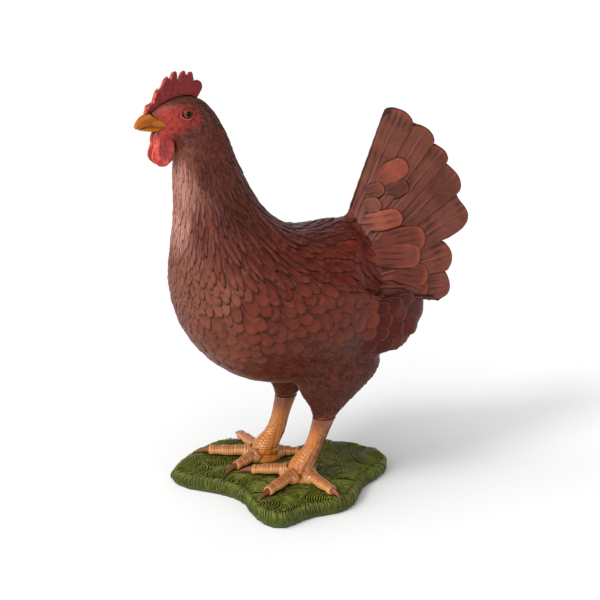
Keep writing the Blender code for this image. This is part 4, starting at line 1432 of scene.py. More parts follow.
@dataclass
class Plumage:
    """The coat of the body: hackles, breast, wings, saddle and fluff.

    Attributes:
        skin: Skin that it grows on.
        lies: How it lies.
        seed: Start of its random numbers.
        cover: Length of a vane, in row distances.
        spread: Width of a vane, as a share of the width between two roots.
        stand: Height of a vane's tip, as a share of its relief.
        thigh_end: Height below which nothing grows.
        saddle_stop: How far from the saddle's end the coat stops.
        sway: Spread of the vanes' headings.
        sink: How deep a vane's upper side starts under the skin.
        under: How deep its lower side lies.
    """

    skin: Skin
    lies: LieField
    seed: int = 7
    cover: float = 2.75
    spread: float = 1.12
    stand: float = 1.5
    thigh_end: float = 99.0
    saddle_stop: float = -7.0
    sway: float = 0.10
    sink: float = 0.5
    under: float = 1.2

    def allowed(self, place: Vector, normal: Vector) -> bool:
        """Tell whether a root may stand at a place.

        Args:
            place: On the skin, in millimetres.
            normal: Which way the skin faces.

        Returns:
            True where the coat grows.
        """
        if past_saddle(np.array([place]))[0] > self.saddle_stop or place.z < self.thigh_end:
            return False
        if self.skin.face.rim(np.array([place]))[0] < 1.03 and abs(place.x) > 5.0:
            return False
        if place.y < -111.0 and place.z > 370.0:
            return False
        if place.z > 401.0 and abs(place.x) < 4.5 and place.y < -88.0:
            return False
        facing = normal.x * (1 if place.x > 0 else -1)
        if place.y > 62 and 146 < place.z < 222 and abs(place.x) > 34 and facing < -0.2:
            return False
        return not (place.y > 80 and abs(place.x) > 34 and 140 < place.z)

    def build(self) -> list[Item]:
        """Grow the coat.

        Returns:
            One object for each tract.
        """
        roots = Roots(self.skin, self.lies, self.allowed)
        starts = [(x, y, z) for x in (8.0, -8.0) for y, z in ((-72, 400), (20, 278), (-108, 250), (0, 116))]
        starts += [(x, y, z) for x in (60.0, -60.0) for y, z in ((30, 120), (0, 200))]
        rows = roots.grow(starts)
        LOG.info("coat roots: %d", len(rows))
        rng = np.random.default_rng(self.seed)
        _, paints, _ = self.lies.read(rows[:, :3])
        paints, _ = self.skin.face.paint(rows[:, :3], paints)
        nearest = self.lies.tract(rows[:, :3])
        tracts = np.array([self.lies.lies[k].tract.value for k in nearest])
        tints, bends = rng.random(len(rows)), rng.normal(0.0, 0.05, len(rows))
        swing = rng.normal(0.0, self.sway, len(rows))[:, None]
        rows[:, 3:6], rows[:, 6:9] = rows[:, 3:6] + rows[:, 6:9] * swing, rows[:, 6:9] - rows[:, 3:6] * swing
        rows[:, 9] *= rng.uniform(0.9, 1.14, len(rows))
        rows[:, 10] *= rng.uniform(0.9, 1.1, len(rows))
        rows[:, 12] *= rng.uniform(0.75, 1.2, len(rows))
        tree = CoatTree()
        large = Vane().build("vane_large")
        small = Vane((-1.0, -0.6, 0.0, 0.6, 1.0), (0.0, 0.35, 0.6, 0.82, 1.0)).build("vane_small")
        made = []
        for tract in Tract:
            mine = tracts == tract.value
            vane = small if tract is Tract.THIGH else large
            roots_item = self.root_object(
                "coat_" + tract.value, rows[mine], paint=paints[mine], tint=tints[mine], bend=bends[mine])
            made.append(tree.run(roots_item, Vane=vane, Skin=self.skin.item, Finish=FEATHERS.material(),
                                 Sink=self.sink * MM, Under=self.under * MM))
        for helper in (large, small):
            bpy.data.objects.remove(helper)
        for item in made:
            own_patches(item)
        return made

    def root_object(self, name: str, rows: Array, **values: Array) -> Item:
        """Make the points that the vanes are laid on.

        Args:
            name: Object name.
            rows: Roots, as Roots.grow gives them.
            **values: Paint of each vane, its tint from 0 to 1, and its sideways bend.

        Returns:
            Object of loose points.
        """
        clay = Clay()
        places, (width, row, point, relief) = rows[:, :3], rows[:, 9:].T
        clay.add(places, [], root=places * MM, lie=rows[:, 3:6], side=rows[:, 6:9],
                 width=width * MM * self.spread, length=row * MM * self.cover, point=point,
                 relief=relief * MM * self.stand, patch=unwrapped(places), **values)
        return clay.build(name)


def unwrapped(places: Array) -> Array:
    """Unroll the body along its spine, for the maps of the coat.

    Args:
        places: Rows of x, y, z in millimetres.

    Returns:
        Rows of turn about the spine, share along it, and zero.
    """
    spine = np.array([(-100.0, 400.0), (-88.0, 350.0), (-65.0, 290.0), (-40.0, 225.0),
                      (20.0, 195.0), (120.0, 205.0)])
    legs = spine[1:] - spine[:-1]
    sizes = np.linalg.norm(legs, axis=1)
    best, share, middle = np.full(len(places), 1e9), np.zeros(len(places)), np.zeros((len(places), 2))
    slant = np.zeros((len(places), 2))
    for k, (start, leg) in enumerate(zip(spine[:-1], legs)):
        along = np.clip((places[:, 1:] - start) @ leg / sizes[k] ** 2, 0, 1)
        spot = start + along[:, None] * leg
        gap = np.linalg.norm(places[:, 1:] - spot, axis=1)
        mine = gap < best
        best[mine], middle[mine] = gap[mine], spot[mine]
        share[mine] = (sizes[:k].sum() + along[mine] * sizes[k]) / sizes.sum()
        slant[mine] = (-leg[1], leg[0]) / sizes[k]
    up = ((places[:, 1:] - middle) * slant).sum(axis=1)
    turn = np.arctan2(places[:, 0], up) / (2 * math.pi) + 0.5
    return np.c_[0.01 + 0.97 * turn, 0.01 + 0.97 * share, np.zeros(len(places))]


def own_patches(item: Item, size: float = 0.003) -> None:
    """Give each vane its own small patch on the coat's map, at its root's place.

    Args:
        item: Object whose points carry patch, across and along.
        size: Width of a patch.
    """
    mesh = item.data
    count = len(mesh.vertices)
    patch, across, along = (np.zeros(count * width, np.float32) for width in (3, 1, 1))
    mesh.attributes["patch"].data.foreach_get("vector", patch)
    mesh.attributes["across"].data.foreach_get("value", across)
    mesh.attributes["along"].data.foreach_get("value", along)
    places = patch.reshape(-1, 3)[:, :2] + np.c_[across / 2, along] * size
    corner = np.zeros(len(mesh.loops), np.int32)
    mesh.loops.foreach_get("vertex_index", corner)
    layer = mesh.uv_layers.new(name="OFBake")
    layer.uv.foreach_set("vector", places[corner].astype(np.float32).ravel())


@dataclass
class Moulding:
    """A fleshy or horny piece, cast from CAD nodes and carved finer.

    Attributes:
        name: Name of the piece.
        nodes: CAD nodes that it stands for.
        slot: Material slot.
        finish: Its paint.
        voxel: Size of its faces.
        rounds: How much it is smoothed.
        swell: How far its nodes are swollen before they fuse.
        foot: How far a part near the skin reaches into it.
        reach: How near to the skin that part is.
    """

    name: str
    nodes: tuple[str, ...]
    slot: str
    finish: Finish
    voxel: float = 0.5
    rounds: int = 6
    swell: float = 0.0
    foot: float = 0.0
    reach: float = 3.8

    def carve(self, places: Array, normals: Array) -> tuple[Array, Array, Array]:
        """Raise or lower the surface and paint it.

        Args:
            places: Points, in millimetres.
            normals: Which way they face.

        Returns:
            Height, paint, and share of dry brush and painted highlight for each point.
        """
        return np.zeros(len(places)), self.plain_paint(places), np.zeros(len(places))

    def plain_paint(self, places: Array) -> Array:
        """Base coat of the finish at each place."""
        return np.tile(self.finish.base, (len(places), 1))

    def build(self, skin: Skin | None = None) -> Item:
        """Cast, carve and paint the piece.

        Args:
            skin: Skin that its foot sinks into.

        Returns:
            The piece.
        """
        shape = copied(self.nodes, self.swell)
        self.fill(shape)
        item = remeshed(shape, self.name, self.voxel)
        mesh = item.data
        places = pulled(read_points(mesh), pairs_of(mesh), SMOOTHING * self.rounds)
        write_places(mesh, places)
        normals = read_points(mesh, "normal")
        height, paint, crest = self.carve(places, normals)
        places = places + normals * height[:, None]
        if skin is not None:
            places = self.sunk(places, skin)
        write_places(mesh, places)
        write_value(mesh, "paint", paint)
        write_value(mesh, "crest", crest)
        mesh.materials.clear()
        mesh.materials.append(self.finish.material())
        mesh.shade_smooth()
        return item

    def fill(self, shape: bmesh.types.BMesh) -> None:
        """Add bodies that fuse with the piece; a plain piece has none."""

    def sunk(self, places: Array, skin: Skin) -> Array:
        """Let the foot of the piece reach into the skin.

        Args:
            places: Points of the piece.
            skin: The skin.

        Returns:
            The new places.
        """
        near, ways = np.zeros(len(places)), np.zeros_like(places)
        for k, place in enumerate(places):
            spot, normal, _, gap = skin.tree.find_nearest(Vector(place), self.reach)
            if spot is not None:
                near[k], ways[k] = 1 - step(0.4 * self.reach, self.reach, np.array(gap)), normal
        return places - ways * (self.foot * near)[:, None]


@dataclass
class Comb(Moulding):
    """Upright comb with seven lobes.

    Attributes:
        slits: Places of the notches, as y and z.
        tips: Ends of the upper lobes, as y and z.
        heart: Where the grooves of the notches point to.
        root: Paint where the comb meets the head.
    """

    slits: tuple[Pair, ...] = (
        (-128.4, 402.6), (-121.2, 413.4), (-111.2, 423.6), (-102.8, 421.6), (-94.4, 426.0), (-87.4, 422.2))
    tips: tuple[Pair, ...] = (
        (-130.8, 404.2), (-123.8, 416.4), (-114.5, 427.4), (-105.4, 432.0), (-97.4, 432.0), (-90.6, 430.8))
    heart: Pair = (-103.0, 388.0)
    root: Triple = (0.15, 0.035, 0.028)

    def fill(self, shape: bmesh.types.BMesh) -> None:
        """Join the front lobe to the bill and round the ends of the lobes."""
        egg(shape, (0.2, -130.8, 399.6), (3.3, 4.6, 5.0))
        egg(shape, (0.2, -128.0, 397.4), (3.4, 5.5, 4.0))
        for y, z in self.tips:
            egg(shape, (0.0, y + 0.4, z - 3.2), (2.3, 2.3, 3.3))
        egg(shape, (0.0, -84.6, 417.0), (3.0, 5.6, 6.2))

    def carve(self, places: Array, normals: Array) -> tuple[Array, Array, Array]:
        """Grooves below the notches, and a painted highlight on the front, which faces the light.

        Args:
            places: Points, in millimetres.
            normals: Which way they face.

        Returns:
            Height, paint and painted highlight share for each point.
        """
        _, y, z = places.T
        side = places[:, 1:] - self.heart
        height = 0.22 * uneven(places, 1.3)
        for slit in self.slits:
            line = np.array(slit) - self.heart
            size = np.hypot(*line)
            off = (side[:, 0] * line[1] - side[:, 1] * line[0]) / size
            height -= 0.45 * step(size - 9.0, size - 1.0, side @ line / size) * hump(off, 0.0, 1.0)
        # Painted highlight: the faces turned to the front, towards the light, are brushed bright orange red.
        lit_front = step(0.15, 0.75, -normals[:, 1]) * step(-98.0, -112.0, y - 0.4 * (z - 415))
        low = 1 - step(399.0, 408.0, z - 0.25 * (y + 100) * (y < -100))
        return height, over(self.plain_paint(places), self.root, 0.5 * low), np.clip(lit_front * 1.4, 0, 1)


@dataclass
class Wattle(Moulding):
    """Wattle with a thick rim round a hollow middle.

    Attributes:
        sign: Side that it hangs on.
        roots: Middles of the bodies that join it to the throat, on the left side.
        root_size: Their half sizes.
        deep: Paint of the hollow.
        rear: Paint of the rear edge.
        upper: Paint near the throat.
    """

    sign: float = 1.0
    roots: tuple[Triple, ...] = ((4.6, -123.4, 370.0), (5.6, -119.0, 368.0), (6.2, -115.6, 366.5))
    root_size: Triple = (3.2, 6.4, 10.5)
    deep: Triple = (0.24, 0.026, 0.026)
    rear: Triple = (0.34, 0.055, 0.036)
    upper: Triple = (0.225, 0.019, 0.016)

    def fill(self, shape: bmesh.types.BMesh) -> None:
        """Join the wattle to the throat by a fleshy root."""
        for x, y, z in self.roots:
            egg(shape, (self.sign * x, y, z), self.root_size)

    def carve(self, places: Array, normals: Array) -> tuple[Array, Array, Array]:
        """Hollow the middle of the outer side, brush the rim, and paint a highlight on the front.

        Args:
            places: Points, in millimetres.
            normals: Which way they face.

        Returns:
            Height, paint, and share of dry brush and painted highlight for each point.
        """
        low, high = places.min(axis=0), places.max(axis=0)
        middle, half = (low + high) / 2, (high - low) / 2
        _, y, z = places.T
        back, up = (y - middle[1] - 0.8) / half[1], (z - middle[2] - 0.5) / half[2]
        reach = np.hypot(back / 0.62, up / 0.78)
        outer = step(0.1, 0.6, normals[:, 0] * self.sign)
        hollow = (1 - step(0.25, 1.0, reach)) * outer
        fold = 0.16 * np.sin(y * 1.7 + 0.8 * np.sin(0.3 * z)) * outer * (1 - step(0.6, 1.2, reach))
        upper = step(367.0, 377.0, z + 0.5 * (y + 122))
        rim = hump(reach, 1.12, 0.22) * outer * (1 - upper)
        paint = over(self.plain_paint(places), self.deep, 0.9 * hollow)
        paint = over(paint, self.rear, 0.5 * step(0.2, 0.9, back) * outer)
        paint = over(paint, self.upper, 0.85 * upper) * (1 + 0.2 * uneven(places, 2.2))[:, None]
        # The rim is dry brushed; the faces turned to the front get a painted highlight.
        crest = rim + step(0.3, 0.8, -normals[:, 1]) * (1 - 0.6 * upper)
        return 0.35 * rim + fold - 1.1 * hollow, paint, np.clip(crest, 0, 1)


@dataclass
class Bill(Moulding):
    """Both halves of the bill, with the mouth line and the nostrils.

    Attributes:
        nostril: Middle of a nostril, as y and z.
        mouth: Line of the mouth, as y and z of its points.
        flank: Paint of its sides.
        ochre: Paint of its root and its lower half.
        dark: Paint of mouth and nostrils.
    """

    nostril: Pair = (-126.4, 393.6)
    mouth: tuple[Pair, ...] = (
        (-144.0, 381.0), (-138.5, 382.6), (-131.5, 384.3), (-120.0, 383.0), (-112.0, 383.6))
    flank: Triple = (0.24, 0.055, 0.002)
    ochre: Triple = (0.42, 0.140, 0.0022)
    dark: Triple = (0.07, 0.022, 0.012)

    def fill(self, shape: bmesh.types.BMesh) -> None:
        """Carry the corners of the mouth back into the cheeks."""
        egg(shape, (0.0, -125.0, 389.3), (7.6, 8.5, 6.3))
        for _, sign in SIDES:
            egg(shape, (sign * 5.9, -121.6, 386.2), (4.7, 9.0, 4.7))

    def carve(self, places: Array, normals: Array) -> tuple[Array, Array, Array]:
        """Cut the mouth and nostrils, and shade the horn.

        Args:
            places: Points, in millimetres.
            normals: Which way they face.

        Returns:
            Height, paint and dry brush share for each point.
        """
        _, y, z = places.T
        slot = hump(z, np.interp(y, *np.array(self.mouth).T), 0.42) * step(-141.5, -137.5, y)
        behind, above = y - self.nostril[0], z - self.nostril[1]
        along, up = 0.85 * behind - 0.5 * above, 0.85 * above + 0.5 * behind
        side = step(0.2, 0.6, np.abs(normals[:, 0]))
        hole = hump(along, 0.0, 1.9) * hump(up, 0.0, 0.7) * side
        hood = hump(along, 0.0, 2.6) * hump(up, 1.5, 0.8) * side
        flank = 0.75 * hump(z, 388.5, 3.0) * step(-143.0, -136.0, y)
        paint = over(self.plain_paint(places), self.flank, flank)
        ochre = np.clip(step(-130.0, -119.0, y) + 1 - step(379.0, 383.0, z), 0, 1)
        paint = over(over(paint, self.ochre, 0.8 * ochre), self.dark, np.clip(slot + 0.7 * hole, 0, 1))
        crest = step(0.3, 0.9, normals[:, 2]) * 0.4 + 1 - step(-145.5, -142.0, y)
        return 0.35 * hood - 0.55 * slot - 0.8 * hole, paint, np.clip(crest, 0, 1)


@dataclass
class Eyes:
    """Two glass-bright eyes in their sockets.

    Attributes:
        centre: Middle of the left one.
        radius: Its radius.
        bulge: How far the pupil stands out of the round.
    """

    centre: Triple = (15.0, -100.3, 395.3)
    radius: float = 5.9
    bulge: float = 0.25

    def build(self) -> list[Item]:
        """Make both eyes.

        Returns:
            The left and the right eye.
        """
        made = []
        for side, sign in SIDES:
            shape = bmesh.new()
            bmesh.ops.create_uvsphere(shape, u_segments=40, v_segments=24, radius=self.radius)
            points = np.array([tuple(p.co) for p in shape.verts])[:, [2, 0, 1]]
            faces = [[p.index for p in f.verts] for f in shape.faces]
            shape.free()
            points[:, 0] += sign * self.bulge * step(0.75, 0.95, points[:, 0] * sign / self.radius)
            clay = Clay()
            clay.add(points + np.array(self.centre) * (sign, 1, 1), faces, crest=0.0)
            made.append(clay.build("eye_ball_" + side, EYE_GLASS.material()))
        return made


@dataclass
class Foot(Moulding):
    """One leg with its toes: scaled shank, ringed toes and swollen cuffs at the claws.

    Attributes:
        hub: Middle of the sole.
        plug: Middle of the body that closes the leg's top.
        toes: Heading in degrees and length of each toe.
        ring: Distance between the rings of a toe.
        scale: Size of the small scales of the shank.
        orange: Paint of the shank.
        shadow_side: Painted shade on its outer and rear side.
        brick: Paint of its upper part.
        hem: Paint at its top, under the feathers.
        beige: Paint of the toes.
        tan: Paint of their upper side.
        brown: Paint of the grooves.
    """

    hub: Pair = (30.0, 7.0)
    plug: Triple = (36.0, 30.0, 82.0)
    toes: tuple[Pair, ...] = ()
    ring: float = 2.65
    scale: float = 3.3
    orange: Triple = (0.52, 0.155, 0.014)
    shadow_side: Triple = (0.120, 0.020, 0.0025)
    brick: Triple = (0.34, 0.075, 0.008)
    hem: Triple = (0.21, 0.045, 0.010)
    beige: Triple = (0.74, 0.335, 0.115)
    tan: Triple = (0.31, 0.088, 0.022)
    brown: Triple = (0.13, 0.028, 0.005)

    def fill(self, shape: bmesh.types.BMesh) -> None:
        """Join the toes by webs round the sole and close the leg's top."""
        x, y = self.hub
        egg(shape, (x, y, 19.5), (17.5, 17.5, 7.5))
        egg(shape, (x, y + 2.5, 27.5), (14.0, 14.5, 11.0))
        egg(shape, self.plug, (8.2, 9.0, 12.0))
        for heading, _ in self.toes:
            turn = math.radians(heading)
            egg(shape, (x + 15 * math.cos(turn), y + 15 * math.sin(turn), 23.5), (9.0, 9.0, 7.5))

    def toe_places(self, places: Array) -> tuple[Array, Array]:
        """Find each point's toe.

        Args:
            places: Points, in millimetres.

        Returns:
            Place along the toe, and the toe's length.
        """
        gap = places[:, :2] - self.hub
        best = np.full(len(places), 1e9)
        along, length = np.zeros(len(places)), np.ones(len(places))
        for heading, size in self.toes:
            turn = math.radians(heading)
            ahead = gap @ (math.cos(turn), math.sin(turn))
            off = np.abs(gap @ (-math.sin(turn), math.cos(turn))) + 3.0 * np.maximum(0.0, -ahead)
            mine = off < best
            best[mine], along[mine], length[mine] = off[mine], ahead[mine], size
        return along, length

    def carve(self, places: Array, normals: Array) -> tuple[Array, Array, Array]:
        """Rings and cuffs on the toes, and scales on the shank.

        Args:
            places: Points, in millimetres.
            normals: Which way they face.

        Returns:
            Height, paint and dry brush share for each point.
        """
        x, y, z = places.T
        along, length = self.toe_places(places)
        toe = step(11.0, 17.0, along) * (1 - step(34.0, 44.0, z))
        turn = (along + 0.8 * np.sin(0.5 * along)) / self.ring
        part = turn - np.floor(turn)
        top = step(-0.1, 0.55, normals[:, 2])
        groove = hump(np.minimum(part, 1 - part), 0.0, 0.16)
        cuff = hump(along - length, -2.6, 2.2) * toe
        bones = toe * (0.35 * np.cos(6 * math.pi * along / length) - 0.15 * hump(along - length, -7.5, 2.0))
        column = np.arctan2(y - 16.0, np.abs(x) - 31.5) * 9.0 / self.scale
        level = z / (self.scale * 0.8) + 0.5 * (np.floor(column) % 2)
        across, up = column - np.floor(column) - 0.5, level - np.floor(level) - 0.5
        dome = (1 - (2 * across) ** 4) * (1 - (2 * up) ** 4)
        forward = step(-0.2, 0.6, -normals[:, 1] + 0.3 * np.abs(normals[:, 0]))
        shank = (1 - toe) * step(16.0, 24.0, z) * (0.6 + 0.4 * forward) * (1 - 0.5 * step(58.0, 76.0, z))
        height = toe * top * (0.30 * np.sqrt(part) - 0.42 * groove) + 0.35 * cuff + bones
        height += 0.5 * shank * (dome - 0.5) - 0.5 * step(73.0, 81.0, z)
        lines = np.maximum(toe * top * groove, 0.85 * shank * step(0.55, 0.1, dome))
        below = 1 - step(-0.3, 0.3, normals[:, 2])
        crest = np.clip(0.7 * cuff + 0.5 * toe * below + 0.25 * (1 - groove), 0, 1)
        return height, self.painted(places, normals, lines, toe), crest

    def painted(self, places: Array, normals: Array, lines: Array, toe: Array) -> Array:
        """Orange shank with painted shade on its outer and rear side, paling towards beige toes with brown
        rings.

        Args:
            places: Points, in millimetres.
            normals: Which way they face.
            lines: How deep each point lies in a groove.
            toe: How far each point belongs to a toe.

        Returns:
            The paint.
        """
        x, _, z = places.T
        # Painted shade: the sides facing rearward and outward are painted dark brown.
        rear = 0.8 * normals[:, 1] + 0.45 * normals[:, 0] * np.sign(x)
        outer = step(-0.2, 0.7, rear + 0.25 * uneven(places, 3.0))
        paint = over(np.tile(self.orange, (len(places), 1)), self.shadow_side, 0.95 * outer * (1 - 0.5 * toe))
        paint = over(paint, self.brick, 0.8 * step(58.0, 82.0, z) * (1 - outer))
        paint = over(paint, self.beige, 0.75 * toe)
        paint = over(paint, self.tan, 0.7 * step(0.2, 0.95, normals[:, 2]) * toe)
        return over(over(paint, self.brown, 0.75 * lines), self.hem, step(66.0, 80.0, z))


@dataclass
class Claws(Moulding):
    """The claws of one foot, darker on their upper side."""

    def carve(self, places: Array, normals: Array) -> tuple[Array, Array, Array]:
        """Shade the claws from above.

        Args:
            places: Points, in millimetres.
            normals: Which way they face.

        Returns:
            Height, paint and dry brush share for each point.
        """
        top = step(0.0, 0.9, normals[:, 2])
        return np.zeros(len(places)), self.plain_paint(places) * (1.1 - 0.35 * top)[:, None], 0.6 * (1 - top)


@dataclass
class Fan:
    """Tail of broad feathers spread like a hand of cards, seven on each side.

    Attributes:
        root: Where all their shafts start, as y and z.
        hub: Distance from the root at which the feathers begin.
        notches: Heading in degrees and reach of each notch between two ends.
        ends: Reach of each feather's end.
        thick: Thickness of a feather.
        tuck: How much of a feather lies under the one above it.
        drop: How far the tucked side lies below the free one.
        shaft: Place of the shaft across the free part of a feather, from 0 to 1.
        sag: How far the lowest feather's root hangs below the line to its end.
        columns: Points across a feather, evenly spaced.
        close: Distances of the extra points on each side of the shaft.
        rows: Points along a feather.
        tip_mark: Dark paint of the notch at the ridge's tip.
    """

    root: Pair = (53.0, 235.0)
    hub: float = 30.0
    notches: tuple[Pair, ...] = (
        (68.0, 158.0), (56.1, 156.0), (45.6, 154.5), (37.3, 151.0), (24.7, 142.5), (8.0, 107.0), (-7.8, 110.0),
        (-23.0, 98.0))
    ends: tuple[float, ...] = (165.0, 163.0, 158.5, 154.0, 147.0, 120.0, 118.5)
    thick: float = 1.7
    tuck: float = 0.45
    drop: float = 1.7
    shaft: float = 0.42
    sag: float = 16.0
    columns: int = 26
    close: tuple[float, ...] = (0.014, 0.028, 0.045, 0.062, 0.085, 0.11)
    rows: int = 46
    tip_mark: Triple = (0.01, 0.008, 0.008)

    def edge(self, place: Array) -> tuple[Array, Array]:
        """Heading and reach of the fan's edge.

        Args:
            place: Feathers down from the ridge.

        Returns:
            Heading in radians, and reach.
        """
        turns, reaches = np.array(self.notches).T
        k = np.clip(np.floor(place), 0, len(self.ends) - 1).astype(int)
        part = np.clip(place - k, 0.0, 1.0)
        between = toward(reaches[k], reaches[k + 1], part)
        bulge = np.maximum(0.0, np.sin(math.pi * part)) ** 0.55
        ends = np.array(self.ends)[k]
        return np.radians(toward(turns[k], turns[k + 1], part)), toward(between, ends, bulge)

    def surface(self, place: Array, radius: Array, inside: bool = False) -> Array:
        """Places on the left half fan.

        Args:
            place: Feathers down from the ridge.
            radius: Distance from the root.
            inside: Take the hollow side.

        Returns:
            Rows of x, y, z.
        """
        turn, reach = self.edge(place)
        share = place / len(self.ends)
        along = np.clip((radius - self.hub) / (reach - self.hub), 0.0, 1.0)
        start = 4.0 + 40.0 * np.sin(np.minimum(1.0, 1.35 * share) * math.pi / 2)
        x = toward(start, 4.2 + 46.0 * np.maximum(share, 0.0) ** 1.15, along**0.9)
        if inside:
            lift = np.clip((place - 0.9) / (len(self.ends) - 0.9), 0.0, 1.0) ** 0.4
            x = np.maximum(0.0, x - (9.0 - 5.0 * along)) * lift
        y, z = self.root[0] + radius * np.cos(turn), self.root[1] + radius * np.sin(turn)
        return np.stack([x, y, z - self.sag * share**2 * (1 - along)], axis=-1)

    def aside(self, y: Array, z: Array) -> Array:
        """How far out the fan lies at places seen from the side.

        Args:
            y: Places along the bird.
            z: Heights.

        Returns:
            The x of the left half.
        """
        turns = np.array(self.notches)[:, 0]
        share, along = np.full(y.shape, 0.5), np.full(y.shape, 0.5)
        for _ in range(5):
            up = z + self.sag * share**2 * (1 - along) - self.root[1]
            turn, radius = np.degrees(np.arctan2(up, y - self.root[0])), np.hypot(up, y - self.root[0])
            place = np.interp(-turn, -turns, np.arange(len(turns)))
            share = place / len(self.ends)
            along = np.clip((radius - self.hub) / (self.edge(place)[1] - self.hub), 0.0, 1.0)
        return self.surface(place, radius)[..., 0]

    def feather(self, clay: Clay, k: int, sign: float, tint: float, inside: bool) -> None:
        """Add one tail feather.

        Args:
            clay: Where it goes.
            k: Its number from the ridge.
            sign: Its side.
            tint: Its own shade, from 0 to 1.
            inside: Lay it on the hollow side.
        """
        tuck = 0.0 if k == 0 else self.tuck
        middle = (tuck + self.shaft) / (1 + tuck)
        share = np.linspace(0.0, 1.0, self.columns)
        close = np.array(self.close)
        share = np.sort(np.r_[share[np.abs(share - middle) > 0.12], middle, middle + close, middle - close])
        s, v = np.meshgrid(share, 1 - (1 - np.linspace(0.0, 1.0, self.rows)) ** 1.35)
        place = k - tuck + (1 + tuck) * s
        reach = self.edge(np.clip(place, k, k + 1 - 1e-6))[1] - 0.5 - 60.0 * np.maximum(0.0, k - place) ** 1.5
        radius = self.hub + (reach - self.hub) * v
        points = self.surface(place, np.minimum(radius, self.edge(place)[1]), inside)
        normal = outward(points) * (-1 if inside else 1)
        wide = np.linalg.norm(points[:, -1] - points[:, 0], axis=1)[:, None]
        long, off = radius - self.hub, (s - middle) * wide
        narrow, away = 1.35 - 0.6 * v, np.abs(off)
        rib = 0.55 * hump(off, 0.0, 0.8 * narrow) - 0.45 * hump(away, 1.7 * narrow, 0.55 * narrow)
        rise = rib * np.sqrt(1.02 - v) - self.drop * (1 - s) - 0.35 - 1.5 * (1 - step(0.0, 0.25, v))
        rise -= 0.8 * step(0.94, 1.0, s) ** 2 + 0.7 * step(0.955, 1.0, v) ** 2
        barb = long - 1.25 * away**0.92
        ripple = 0.22 * np.sin(barb * 0.62 + 2.2 * np.sin(0.13 * off + k) + 3.0 * tint) * step(2.0, 5.0, away)
        top = points + normal * (rise + ripple)[..., None]
        under = points + normal * (rise - self.thick)[..., None]
        top[..., 0], under[..., 0] = np.maximum(top[..., 0], 0.3), np.maximum(under[..., 0], 0.05)
        rim = np.clip(step(0.9, 1.0, s) + step(0.95, 1.0, v), 0, 1)
        base = toward(np.array(Shade.TAIL.value), np.array(Shade.TAIL_LOW.value), min(1.0, k / 5))
        paint = over(base * np.ones((*s.shape, 3)), np.array(Shade.COVERT_RED.value) * 0.9, 0.65 * rim)
        stroke = strokes(off + 0.05 * long, long, 31.0 * k + 7.0 * tint)
        paint = paint * ((1 + 0.3 * hump(off, 0.0, 0.8)) * (1 + 0.42 * stroke))[..., None]
        if k == 0:
            paint = over(paint, self.tip_mark, step(0.24, 0.12, s) * step(0.945, 0.965, v))
        # The dark lines beside the shaft, the dark strokes and the dark edge are partly a real wash and partly
        # painted shade.
        lines = 0.75 * hump(away, 1.5 * narrow, 0.4 * narrow) * step(1.0, 0.75, v) * step(0.1, 0.4, v)
        lines = lines * step(-0.3, 0.3, strokes(off, long, 5.0 * k))
        wash = np.maximum(lines, 0.55 * step(0.35, 0.8, -stroke))
        wash = np.maximum(wash, 0.9 * np.maximum(step(0.975, 1.0, s), step(0.985, 1.0, v)))
        clay.add_feather(top, under, sign, tint=tint, paint=paint, barb=barb, across=(s - middle) * 1.4,
                         crest=0.7 * rim, wash=wash)

    def build(self, sign: float, name: str, seed: int) -> Item:
        """Make one half of the fan.

        Args:
            sign: Its side.
            name: Name of the piece.
            seed: Start of its random numbers.

        Returns:
            The piece.
        """
        rng = np.random.default_rng(seed)
        clay = Clay()
        for inside in (False, True):
            for k in range(int(inside), len(self.ends)):
                self.feather(clay, k, sign, float(rng.random()), inside)
        return facing_out(clay.build(name, FEATHERS.material()))


@dataclass(frozen=True)
class Plume:
    """One large feather, laid one by one from a table.

    Attributes:
        tip: Its end, as y and z.
        heading: Which way it points, in degrees above the line to the rear.
        width: Its width.
        length: Its length.
        lift: Height of its end over the surface.
        square: Power of its end's outline; high ends are squarer.
        shade: Its paint.
        edge: Paint of its edge.
    """

    tip: Pair
    heading: float
    width: float
    length: float
    lift: float
    square: float
    shade: Shade
    edge: Shade = Shade.COVERT_EDGE


COVERTS = (
    Plume((140.0, 202.0), -34.0, 21.0, 46.0, 0.6, 2.1, Shade.TAIL_LOW),
    Plume((142.0, 217.0), -18.0, 25.0, 56.0, 1.0, 2.1, Shade.COVERT),
    Plume((135.0, 239.6), -6.0, 25.0, 56.0, 1.6, 2.1, Shade.COVERT),
    Plume((141.6, 257.3), 1.0, 27.0, 62.0, 1.2, 2.1, Shade.COVERT),
    Plume((129.0, 309.5), 22.0, 14.5, 32.0, 0.9, 2.2, Shade.COVERT_DARK, Shade.TAIL),
    Plume((117.8, 280.0), 10.0, 18.0, 42.0, 2.0, 2.1, Shade.COVERT_RED),
    Plume((130.5, 329.5), 27.0, 21.0, 38.0, 1.3, 2.1, Shade.COVERT_RED),
    Plume((105.0, 307.5), 22.0, 14.0, 22.0, 1.4, 2.2, Shade.TAIL),
    Plume((100.0, 292.5), 14.0, 14.0, 19.0, 1.7, 2.2, Shade.TAIL),
)
